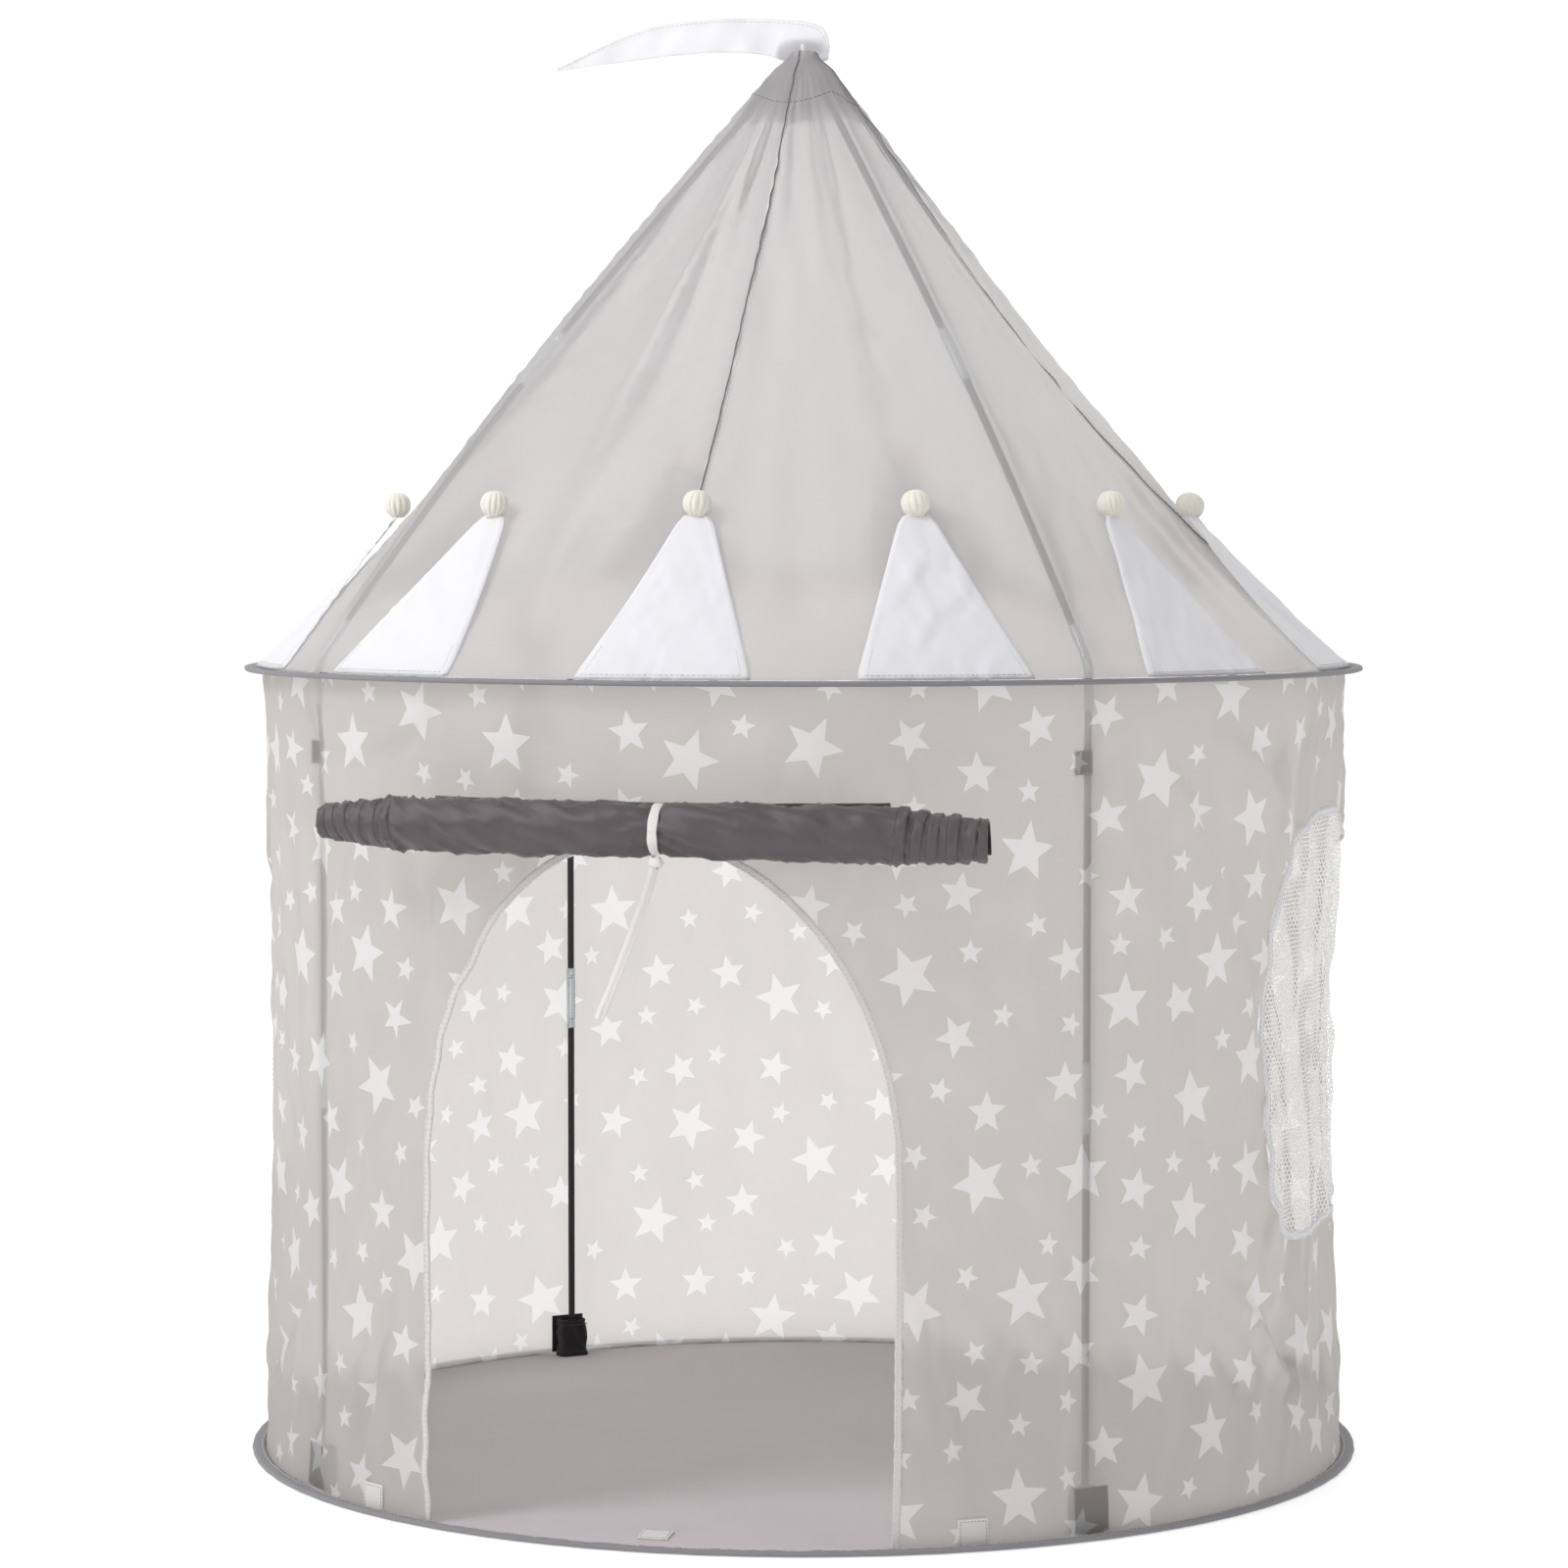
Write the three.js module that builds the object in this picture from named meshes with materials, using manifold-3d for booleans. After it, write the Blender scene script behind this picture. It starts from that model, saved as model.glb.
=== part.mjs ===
// A round play tent with a pointed roof, in millimetres, +Z up.
// The origin is the centre of the ground sheet's underside, and the doorway faces -Y.
// Two sprung hoops carry a sewn cover. Four sectioned poles stand in foot pockets inside the wall, turn
// inwards at elbows behind the upper hoop, and meet in a reinforced cap under the roof's point.
// Twelve pointed flaps with pompoms stand in a crown round the roof's edge, a pennant tops the roof, and
// the door is rolled up above its arch and held by a tape tie.

import * as THREE from "three";
import { mergeVertices } from "three/addons/utils/BufferGeometryUtils.js";
import Module from "manifold-3d";

const wasm = await Module();
wasm.setup();

// ---- Driving dimensions -------------------------------------------------------------------------

const CLOTH = 1.2; // modelled thickness of one layer of cloth
const GAP = 0.3; // clearance between pieces that touch on the real tent
const AROUND = 48; // facets in a full turn
const DEG = Math.PI / 180;
const QUARTER = 90 * DEG;

const GROUND_HOOP_Z = 2.3;
const GROUND_RADIUS = 500; // outside of the lower hoop's binding
const RING_Z = 704; // mid-height of the upper hoop
const RING_RADIUS = 503; // outside of the upper hoop's binding
const BINDING_HALF = 2.3; // half the height of a hoop's binding
const GROUND_BINDING_WIDTH = 12; // from its rounded outside to its sewn edge
const RING_BINDING_WIDTH = 17;
const HOOP_WIRE = 0.7; // radius of the spring steel

const WALL_RADIUS = 487; // outside of the wall at the ground and at the upper hoop
const WALL_WAIST = 10; // how far the wall draws in half-way up
const WALL_LOW = CLOTH + GAP;
const WALL_HIGH = RING_Z - BINDING_HALF - GAP;
const PATCH_WIDTH = 26; // of the hook tape at the threshold
const PATCH_DEEP = 20.8;
const PATCH_IN = 36; // from the ground sheet's edge to its middle

const DOOR_HALF = 196; // half the doorway's width
const DOOR_SPRING = 310; // height at which the arch starts
const DOOR_RISE = 265; // height of the arch above that
const DOOR_TRIM = 8; // width of the doorway's edge binding
const WINDOW_HALF = 155;
const WINDOW_LOW = 216;
const WINDOW_HIGH = 586;
const WINDOW_TOP_CORNER = 130;
const WINDOW_LOW_CORNER = 60;
const WINDOW_TRIM = 11;

const ROOF_RADIUS = 487; // the roof's outside at its lower edge
const ROOF_LOW = RING_Z + BINDING_HALF + GAP;
const ROOF_SHOULDER = 1252; // height at which the blunt top starts
const ROOF_TOP_RADIUS = 18; // over a pole, at the shoulder
const ROOF_PEAK = 1257;
const ROOF_HOLE = 5; // radius of the hole for the pennant's stem
const ROOF_ROWS = 9;
const POLE_BOW = 18; // how far the poles bow the roof out
const SEAM_BOW = 35; // how far the seams are drawn in
const POLE_SKEW = 0.88; // below 1, the bow is greatest in the lower half
const SEAM_SKEW = 0.82;
const ROOF_SKIN = 1.6; // radial thickness of the sloping roof cloth

const ROD = 3.2; // radius of a fibreglass rod
const SOCKET = 3.65; // bore of a ferrule, elbow or pocket
const FERRULE = 4.35; // outer radius of a ferrule or elbow
const FERRULE_HALF = 30;
const POLE_RADIUS = 471; // from the tent's axis to the upright part of a pole
const POLE_FOOT = 8;
const POLE_UNDER_EAVE = 8; // from the roof's outside to a pole's centre, low down
const POLE_UNDER_POINT = 10.5; // and near the top, where the roof's corners are tightest
const UNDER_SHARES = [0.14, 0.28, 0.42, 0.56, 0.7, 0.82, 0.91, 0.962]; // points of a pole under the roof
const BEND_Z = 717; // height at which the upright part meets the line of the roof
const BEND_EASE = 8; // length over which it rounds off, each way
const ELBOW_HALF = 38;
const ROD_SHORT = 12; // the rods stop this far from the middle of the elbow
const WALL_FERRULE_Z = 361;
const ROOF_FERRULE_Z = 975;
const ROD_SIDES = 8;

const POCKET_WIDTH = 29;
const POCKET_DEEP = 20;
const POCKET_HIGH = 37;
const CAP_LOW = 1187;
const SLEEVE = 5.6;
const SLEEVE_LENGTH = 42;

const FLAPS = 12;
const FLAP_BASE_HALF = 74;
const FLAP_TIP_HALF = 11.5;
const FLAP_LOW = ROOF_LOW + 2;
const FLAP_HIGH = 839;
const FLAP_OFFSET = 2.4; // from the roof to the flap's underside, measured level
const FLAP_THICK = 2.2;
const FLAP_TIP_LIFT = 8.1; // its tip stands off the roof by this much more, at the pompom's middle
const POMPOM = 13.5;
const POMPOM_Z = 848;
const POMPOM_OUT = 16.9; // from the flap's underside line to the pompom's centre

const ROLL_LEFT = 278; // how far the rolled door reaches each way
const ROLL_RIGHT = 285;
const ROLL_Z = 588;
const ROLL_DROOP = 7; // how far its right end hangs
const ROLL_OUT = 506; // from the tent's axis to the roll's centre
const ROLL_SWEEP = 30; // how far its ends curve back towards the wall
const ROLL_NIP = 21; // radius under the tie
const ROLL_FULL = 24; // and where it is fullest
const ROLL_LEFT_END = 12.5; // and at its ends
const ROLL_RIGHT_END = 17;
const ROLL_FULL_SHARE = 0.36; // of the way from the middle to an end
const TIE_X = 20;
const TIE_WIDTH = 8;
const TIE_THICK = 1.3;
const KNOT = 6.5; // radius
const KNOT_X = 24.5;
const KNOT_ANGLE = 52 * DEG; // below the front of the roll
const KNOT_SUNK = 2; // how far the knot is drawn into the loop
// The tie's free end, by hand: out of the knot, then down and a little to the left.
const TIE_TAIL = [
  [22.7, -524.4, 559],
  [19.6, -526, 546],
  [11.5, -527.5, 522],
  [1.5, -528.5, 495],
  [-10, -529, 466],
  [-23, -529.5, 435.5],
];

const PENNANT_THICK = 6;
const PENNANT_STEM = 3.2; // half its stem's width
const PENNANT_FOOT = 1240; // the stem's lower end
const PENNANT_LOW = 1258.5; // the cloth's lower edge at the stem
const PENNANT_TOP = 1286; // its upper edge above the stem
const PENNANT_HEEL = 20; // how far it reaches behind the stem
const PENNANT_TIP = [-236, 1246];

// ---- Materials ----------------------------------------------------------------------------------

function cloth(color) {
  return new THREE.MeshStandardMaterial({ color, roughness: 0.85, metalness: 0 });
}

const wallCloth = cloth(0xc5c2c0);
const roofCloth = cloth(0xcac9c8);
const floorCloth = cloth(0xa29b9d);
const bindingCloth = cloth(0x75757b);
const doorCloth = cloth(0x68636a);
const whiteCloth = cloth(0xeeeef0);
const paleTrim = cloth(0xc9c5c3);
const netCloth = cloth(0xe6e6e4);
const pocketCloth = cloth(0x1c1b1d);
const rodGlass = new THREE.MeshStandardMaterial({ color: 0x1a181a, roughness: 0.45, metalness: 0 });
const ferruleSteel = new THREE.MeshStandardMaterial({ color: 0x9ba2a5, roughness: 0.35, metalness: 1 });
const hoopSteel = new THREE.MeshStandardMaterial({ color: 0x8a8d90, roughness: 0.4, metalness: 1 });

// ---- Shared helpers -----------------------------------------------------------------------------

// A point at angle phi round the axis, counted from the doorway towards +X.
const at = (phi, radius, z) => new THREE.Vector3(radius * Math.sin(phi), -radius * Math.cos(phi), z);

function toSolid(geometry) {
  const bare = new THREE.BufferGeometry();
  bare.setAttribute("position", geometry.getAttribute("position"));
  if (geometry.index) bare.setIndex(geometry.index);
  const merged = mergeVertices(bare, 1e-4);
  const triVerts = new Uint32Array(merged.index.array);
  const vertProperties = merged.getAttribute("position").array;
  return new wasm.Manifold(new wasm.Mesh({ numProp: 3, vertProperties, triVerts }));
}

function toGeometry(solid) {
  const mesh = solid.getMesh();
  const geometry = new THREE.BufferGeometry();
  geometry.setAttribute("position", new THREE.BufferAttribute(mesh.vertProperties, 3));
  geometry.setIndex(new THREE.BufferAttribute(mesh.triVerts, 1));
  return geometry;
}

// A closed solid through rings of points, each with the same number, capped at both ends.
function loft(rings) {
  const count = rings[0].length;
  const positions = rings.flat().flatMap((p) => [p.x, p.y, p.z]);
  const index = [];
  for (let i = 0; i + 1 < rings.length; i++)
    for (let j = 0; j < count; j++) {
      const a = i * count + j;
      const b = i * count + ((j + 1) % count);
      index.push(a, b, b + count, a, b + count, a + count);
    }
  const last = (rings.length - 1) * count;
  for (let j = 1; j + 1 < count; j++) {
    index.push(0, j + 1, j);
    index.push(last, last + j, last + j + 1);
  }
  const geometry = new THREE.BufferGeometry();
  geometry.setAttribute("position", new THREE.Float32BufferAttribute(positions, 3));
  geometry.setIndex(index);
  return geometry;
}

// A curved sheet with thickness: outer(u, v) and inner(u, v) are its two faces, u and v from 0 to 1.
function sheet(outer, inner, across, up) {
  const positions = [];
  const index = [];
  const stride = across + 1;
  const face = stride * (up + 1);
  for (const surface of [outer, inner])
    for (let j = 0; j <= up; j++)
      for (let i = 0; i <= across; i++) positions.push(...surface(i / across, j / up).toArray());
  const quad = (a, b, c, d) => index.push(a, b, c, a, c, d);
  for (let j = 0; j < up; j++)
    for (let i = 0; i < across; i++) {
      const a = j * stride + i;
      quad(a, a + 1, a + 1 + stride, a + stride);
      quad(face + a, face + a + stride, face + a + 1 + stride, face + a + 1);
    }
  for (let i = 0; i < across; i++) {
    const top = up * stride + i;
    quad(i, face + i, face + i + 1, i + 1);
    quad(top, top + 1, face + top + 1, face + top);
  }
  for (let j = 0; j < up; j++) {
    const left = j * stride;
    const right = left + across;
    quad(left, left + stride, face + left + stride, face + left);
    quad(right, face + right, face + right + stride, right + stride);
  }
  const geometry = new THREE.BufferGeometry();
  geometry.setAttribute("position", new THREE.Float32BufferAttribute(positions, 3));
  geometry.setIndex(index);
  return geometry;
}

// A profile of [radius, height] pairs, counter-clockwise and closed on itself, turned round the axis.
function turned(profile) {
  const points = [...profile, profile[0]].map(([r, z]) => new THREE.Vector2(r, z));
  return new THREE.LatheGeometry(points, AROUND).rotateX(QUARTER);
}

const polygon = (radius, sides = ROD_SIDES) =>
  Array.from({ length: sides }, (_, i) => {
    const angle = ((i + 0.5) / sides) * 2 * Math.PI;
    return new THREE.Vector2(radius * Math.cos(angle), radius * Math.sin(angle));
  });

// The stretch of a longer curve between two shares of its length.
class Stretch extends THREE.Curve {
  constructor(whole, from, to) {
    super();
    Object.assign(this, { whole, from, to });
  }
  getPoint(t, target = new THREE.Vector3()) {
    return this.whole.getPointAt(THREE.MathUtils.lerp(this.from, this.to, t), target);
  }
}

// A rod, or a tube if it has a bore, along a curve.
function along(curve, radius, steps, bore = 0) {
  const section = new THREE.Shape(polygon(radius));
  if (bore) section.holes.push(new THREE.Path(polygon(bore)));
  return new THREE.ExtrudeGeometry(section, { extrudePath: curve, steps, bevelEnabled: false });
}

const tent = new THREE.Group();

function add(name, geometry, material) {
  const mesh = new THREE.Mesh(geometry, material);
  mesh.name = name;
  tent.add(mesh);
}

// ---- Hoops, their bindings and the ground sheet -------------------------------------------------

// A folded strip of cloth whose two edges are sewn together on its inner side.
function bindingProfile(outside, width, z) {
  const bend = outside - BINDING_HALF;
  const edge = outside - width;
  const arc = (radius, turns) =>
    turns.map((a) => [bend + radius * Math.cos(a * DEG), z + radius * Math.sin(a * DEG)]);
  const inner = BINDING_HALF - CLOTH;
  return [
    [edge, z - BINDING_HALF],
    ...arc(BINDING_HALF, [-90, -35, 35, 90]),
    [edge, z + BINDING_HALF],
    [edge, z + inner],
    ...arc(inner, [90, 0, -90]),
    [edge, z - inner],
  ];
}

function hoopProfile(outside, z) {
  const middle = outside - BINDING_HALF;
  return polygon(HOOP_WIRE, 6).map((p) => [middle + p.x, z + p.y]);
}

function addHoops() {
  for (const [name, outside, width, z] of [
    ["bottom", GROUND_RADIUS, GROUND_BINDING_WIDTH, GROUND_HOOP_Z],
    ["top", RING_RADIUS, RING_BINDING_WIDTH, RING_Z],
  ]) {
    add(`${name}_hoop`, turned(hoopProfile(outside, z)), hoopSteel);
    add(`${name}_binding`, turned(bindingProfile(outside, width, z)), bindingCloth);
  }
}

function addGroundSheet() {
  const radius = GROUND_RADIUS - GROUND_BINDING_WIDTH - GAP;
  const profile = [
    [0, 0],
    [radius, 0],
    [radius, CLOTH],
    [0, CLOTH],
  ].map(([r, z]) => new THREE.Vector2(r, z));
  add("ground_sheet", new THREE.LatheGeometry(profile, AROUND).rotateX(QUARTER), floorCloth);
  const patch = new THREE.BoxGeometry(PATCH_WIDTH, PATCH_DEEP, CLOTH);
  patch.translate(0, -radius + PATCH_IN, 1.5 * CLOTH + GAP);
  add("threshold_hook_patch", patch, whiteCloth);
}

// ---- Wall, doorway and windows ------------------------------------------------------------------

function wallRadius(z) {
  const share = z / RING_Z;
  return WALL_RADIUS - WALL_WAIST * 4 * share * (1 - share);
}

// One quarter of the wall, from pole to pole, centred on the angle given.
function wallQuarter(centre, thickness = CLOTH, half = QUARTER / 2) {
  const trim = GAP / 2 / WALL_RADIUS;
  const face = (inset) => (u, v) => {
    const z = THREE.MathUtils.lerp(WALL_LOW, WALL_HIGH, v);
    const phi = centre + THREE.MathUtils.lerp(-half + trim, half - trim, u);
    return at(phi, wallRadius(z) - inset, z);
  };
  return toSolid(sheet(face(0), face(thickness), AROUND / 4, 4));
}

// The doorway's outline, drawn in by an inset, open to below the ground.
function doorShape(inset) {
  const half = DOOR_HALF + DOOR_TRIM - inset;
  const shape = new THREE.Shape();
  shape.moveTo(-half, -10);
  shape.lineTo(half, -10);
  shape.lineTo(half, DOOR_SPRING);
  shape.absellipse(0, DOOR_SPRING, half, DOOR_RISE + DOOR_TRIM - inset, 0, Math.PI, false);
  shape.closePath();
  return shape;
}

// A window's outline: a flat sill with small corners, and a wide rounded head.
function windowShape(inset) {
  const half = WINDOW_HALF - inset;
  const low = WINDOW_LOW + inset;
  const high = WINDOW_HIGH - inset;
  const big = WINDOW_TOP_CORNER - inset;
  const small = WINDOW_LOW_CORNER - inset;
  const shape = new THREE.Shape();
  shape.moveTo(-half + small, low);
  shape.lineTo(half - small, low);
  shape.absarc(half - small, low + small, small, -QUARTER, 0, false);
  shape.absarc(half - big, high - big, big, 0, QUARTER, false);
  shape.absarc(-half + big, high - big, big, QUARTER, 2 * QUARTER, false);
  shape.absarc(-half + small, low + small, small, 2 * QUARTER, 3 * QUARTER, false);
  shape.closePath();
  return shape;
}

// A prism through the wall at the angle given, from a shape drawn upright with +X to the right.
function cutter(shape, phi, curveSegments) {
  const prism = new THREE.ExtrudeGeometry(shape, { depth: RING_RADIUS, bevelEnabled: false, curveSegments });
  prism.rotateX(QUARTER); // upright, and reaching from the axis outwards along -Y
  return toSolid(prism.rotateZ(phi));
}

function addWall() {
  const doorCut = (inset) => cutter(doorShape(inset), 0, 10);
  add("wall_front", toGeometry(wallQuarter(0).subtract(doorCut(0))), wallCloth);
  const doorBand = doorCut(GAP).subtract(doorCut(DOOR_TRIM));
  add("door_binding", toGeometry(wallQuarter(0, 2 * CLOTH).intersect(doorBand)), paleTrim);
  add("wall_back", toGeometry(wallQuarter(2 * QUARTER)), wallCloth);
  for (const [side, phi] of [
    ["right", QUARTER],
    ["left", -QUARTER],
  ]) {
    const cut = (inset) => cutter(windowShape(inset), phi, 5);
    add(`wall_${side}`, toGeometry(wallQuarter(phi).subtract(cut(0))), wallCloth);
    const band = cut(GAP).subtract(cut(WINDOW_TRIM));
    add(`window_binding_${side}`, toGeometry(wallQuarter(phi, 2 * CLOTH).intersect(band)), whiteCloth);
    add(`window_net_${side}`, toGeometry(wallQuarter(phi).intersect(cut(WINDOW_TRIM + GAP))), netCloth);
  }
}

// ---- Roof ---------------------------------------------------------------------------------------

const roofShare = (z) => (z - ROOF_LOW) / (ROOF_SHOULDER - ROOF_LOW);
const roofHeight = (share) => ROOF_LOW + share * (ROOF_SHOULDER - ROOF_LOW);
const straight = (share) => THREE.MathUtils.lerp(ROOF_RADIUS, ROOF_TOP_RADIUS, share);
const bow = (share, skew) => Math.sin(Math.PI * Math.pow(share, skew));
const roofOverPole = (share) => straight(share) + POLE_BOW * bow(share, POLE_SKEW);
const roofAtSeam = (share) => straight(share) - SEAM_BOW * bow(share, SEAM_SKEW);

// The roof's outer radius. It is round at the hoop and flatter between the poles higher up, where the cloth
// is pulled straight. The poles stand half-way between the four seams.
function roofRadius(phi, z) {
  const share = THREE.MathUtils.clamp(roofShare(z), 0, 1);
  const fromSeam = Math.abs(phi - Math.round(phi / QUARTER) * QUARTER);
  const square = Math.cos(QUARTER / 2) / Math.cos(fromSeam);
  const pole = roofOverPole(share);
  const pinch = (1 - roofAtSeam(share) / pole) / (1 - Math.cos(QUARTER / 2));
  return pole * THREE.MathUtils.lerp(1, square, pinch);
}

function addRoof() {
  const names = ["front_right", "back_right", "back_left", "front_left"];
  names.forEach((name, i) => {
    const trim = 0.25 * DEG;
    const face = (inset) => (u, v) => {
      const phi = THREE.MathUtils.lerp(i * QUARTER + trim, (i + 1) * QUARTER - trim, u);
      if (v === 1) return at(phi, ROOF_HOLE, ROOF_PEAK - inset);
      const z = roofHeight((v * ROOF_ROWS) / (ROOF_ROWS - 1));
      return at(phi, roofRadius(phi, z) - inset, z);
    };
    add(`roof_${name}`, sheet(face(0), face(ROOF_SKIN), AROUND / 4, ROOF_ROWS), roofCloth);
  });
}

// ---- Poles --------------------------------------------------------------------------------------

// The centre line of one pole in the XZ plane: upright, round the bend, and then under the roof.
function poleLine() {
  const step = 0.002;
  const under = UNDER_SHARES.map((share) => {
    const tangent = new THREE.Vector2(
      roofOverPole(share + step) - roofOverPole(share - step),
      roofHeight(share + step) - roofHeight(share - step),
    ).normalize();
    const depth = THREE.MathUtils.lerp(POLE_UNDER_EAVE, POLE_UNDER_POINT, share);
    const radius = roofOverPole(share) - depth * tangent.y;
    return new THREE.Vector3(radius, 0, roofHeight(share) + depth * tangent.x);
  });
  const bend = new THREE.Vector3(POLE_RADIUS, 0, BEND_Z);
  const slope = under[0].clone().sub(bend).normalize();
  const upright = [POLE_FOOT, BEND_Z / 3, (BEND_Z * 2) / 3, BEND_Z - ELBOW_HALF, BEND_Z - BEND_EASE];
  return [
    ...upright.map((z) => new THREE.Vector3(POLE_RADIUS, 0, z)),
    ...[BEND_EASE, ELBOW_HALF].map((ahead) => bend.clone().addScaledVector(slope, ahead)),
    ...under,
  ];
}

// The share of the curve's length at which it reaches a height.
function shareAtHeight(curve, z) {
  let [low, high] = [0, 1];
  while (high - low > 1e-6) {
    const middle = (low + high) / 2;
    if (curve.getPointAt(middle).z < z) low = middle;
    else high = middle;
  }
  return low;
}

// One pole: rods 1 and 3 each carry a ferrule on their upper end, and the elbow joins rods 2 and 3.
function addPole(name, phi) {
  const curve = new THREE.CatmullRomCurve3(poleLine(), false, "centripetal");
  curve.arcLengthDivisions = 800;
  const length = curve.getLength();
  const mm = (value) => value / length;
  const bend = shareAtHeight(curve, BEND_Z);
  const wallJoint = shareAtHeight(curve, WALL_FERRULE_Z);
  const roofJoint = shareAtHeight(curve, ROOF_FERRULE_Z);
  const place = (geometry) => geometry.rotateZ(phi - QUARTER);
  const part = (from, to, radius, steps, bore) => along(new Stretch(curve, from, to), radius, steps, bore);

  const withFerrule = (from, joint, steps) => {
    const rod = toSolid(part(from, joint, ROD, steps));
    const sleeve = toSolid(part(joint - mm(FERRULE_HALF), joint + mm(FERRULE_HALF), FERRULE, 4));
    const bore = toSolid(part(joint, joint + mm(FERRULE_HALF + 2), SOCKET, 3));
    return place(toGeometry(rod.add(sleeve).subtract(bore)));
  };
  const slack = mm(GAP);
  add(`${name}_foot_rod`, withFerrule(0, wallJoint, 3), rodGlass);
  add(`${name}_wall_rod`, place(part(wallJoint + slack, bend - mm(ROD_SHORT), ROD, 4)), rodGlass);
  const elbow = part(bend - mm(ELBOW_HALF), bend + mm(ELBOW_HALF), FERRULE, 8, SOCKET);
  add(`${name}_elbow`, place(elbow), ferruleSteel);
  add(`${name}_eave_rod`, withFerrule(bend + mm(ROD_SHORT), roofJoint, 8), rodGlass);
  add(`${name}_roof_rod`, place(part(roofJoint + slack, 1, ROD, 8)), rodGlass);
  return { curve, mm };
}

function addPocket(name, phi) {
  const block = new THREE.BoxGeometry(POCKET_DEEP, POCKET_WIDTH, POCKET_HIGH);
  block.translate(POLE_RADIUS - 0.5, 0, WALL_LOW + POCKET_HIGH / 2);
  const turn = Math.PI / ROD_SIDES;
  const bore = new THREE.CylinderGeometry(SOCKET, SOCKET, POCKET_HIGH, ROD_SIDES, 1, false, turn);
  bore.rotateX(QUARTER).translate(POLE_RADIUS, 0, POLE_FOOT - GAP + POCKET_HIGH / 2);
  const pocket = toGeometry(toSolid(block).subtract(toSolid(bore)));
  add(name, pocket.rotateZ(phi - QUARTER), pocketCloth);
}

// The second layer inside the roof's point, with a blind sleeve for each pole's tip.
function addCap({ curve, mm }, angles) {
  const high = ROOF_SHOULDER - 2 * ROOF_SKIN;
  const ring = (inset, z) =>
    Array.from({ length: AROUND }, (_, i) => {
      const phi = (i / AROUND) * 4 * QUARTER;
      return at(phi, roofRadius(phi, z) - inset, z);
    });
  const outside = ROOF_SKIN + 2 * GAP;
  const inside = outside + 2 * ROOF_SKIN;
  const shell = loft([CAP_LOW, (CAP_LOW + high) / 2, high].map((z) => ring(outside, z)));
  const hollow = loft([CAP_LOW - 1, (CAP_LOW + high) / 2, high + 1].map((z) => ring(inside, z)));
  let cap = toSolid(shell).subtract(toSolid(hollow));

  const tip = curve.getPointAt(1);
  const way = curve.getTangentAt(1);
  const mouth = (extra) => curve.getPointAt(1 - mm(SLEEVE_LENGTH + extra));
  const beyond = (distance) => tip.clone().addScaledVector(way, distance);
  const sleeve = (from, to, radius, phi) =>
    toSolid(along(new THREE.LineCurve3(from, to), radius, 1).rotateZ(phi - QUARTER));
  for (const phi of angles) cap = cap.add(sleeve(mouth(0), beyond(2), SLEEVE, phi));
  for (const phi of angles) cap = cap.subtract(sleeve(mouth(3), beyond(GAP), SOCKET + GAP, phi));
  add("apex_cap", toGeometry(cap), bindingCloth);
}

function addPoles() {
  const corners = [
    ["front_right", QUARTER / 2],
    ["front_left", -QUARTER / 2],
    ["back_left", -1.5 * QUARTER],
    ["back_right", 1.5 * QUARTER],
  ];
  let last;
  for (const [name, phi] of corners) {
    last = addPole(`pole_${name}`, phi);
    addPocket(`foot_pocket_${name}`, phi);
  }
  addCap(
    last,
    corners.map(([, phi]) => phi),
  );
}

// ---- Crown of flaps with pompoms ----------------------------------------------------------------

function flapGeometry(centre) {
  const face = (offset) => (u, v) => {
    const z = THREE.MathUtils.lerp(FLAP_LOW, FLAP_HIGH, v);
    const half = THREE.MathUtils.lerp(FLAP_BASE_HALF, FLAP_TIP_HALF, v);
    const lift = offset + v * v * FLAP_TIP_LIFT;
    const phi = centre + ((2 * u - 1) * half) / roofRadius(centre, z);
    return at(phi, roofRadius(phi, z) + lift, z);
  };
  const cloth = toSolid(sheet(face(FLAP_OFFSET + FLAP_THICK), face(FLAP_OFFSET), 2, 3));
  const ball = new THREE.SphereGeometry(POMPOM, 8, 6).rotateX(QUARTER).rotateZ(centre);
  const middle = at(centre, roofRadius(centre, POMPOM_Z) + FLAP_OFFSET + POMPOM_OUT, POMPOM_Z);
  ball.translate(middle.x, middle.y, middle.z);
  return toGeometry(cloth.add(toSolid(ball)));
}

function addFlaps() {
  for (let i = 0; i < FLAPS; i++) {
    const name = `crown_flap_${String(i + 1).padStart(2, "0")}`;
    add(name, flapGeometry((i / FLAPS) * 4 * QUARTER), whiteCloth);
  }
}

// ---- Rolled door, its tie and the pennant -------------------------------------------------------

const rollShare = (x) => x / (x < 0 ? ROLL_LEFT : ROLL_RIGHT);

function rollCentre(x) {
  const share = rollShare(x);
  const droop = ROLL_DROOP * Math.max(0, share) ** 2;
  return new THREE.Vector3(x, -ROLL_OUT + ROLL_SWEEP * share ** 2, ROLL_Z - droop);
}

// The roll is nipped in the middle by its tie and steps down towards its ends.
function rollRadius(x) {
  const share = Math.abs(rollShare(x));
  if (share < ROLL_FULL_SHARE)
    return THREE.MathUtils.lerp(ROLL_NIP, ROLL_FULL, Math.sin((share / ROLL_FULL_SHARE) * QUARTER));
  const outer = (share - ROLL_FULL_SHARE) / (1 - ROLL_FULL_SHARE);
  return THREE.MathUtils.lerp(ROLL_FULL, x < 0 ? ROLL_LEFT_END : ROLL_RIGHT_END, outer ** 1.5);
}

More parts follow.
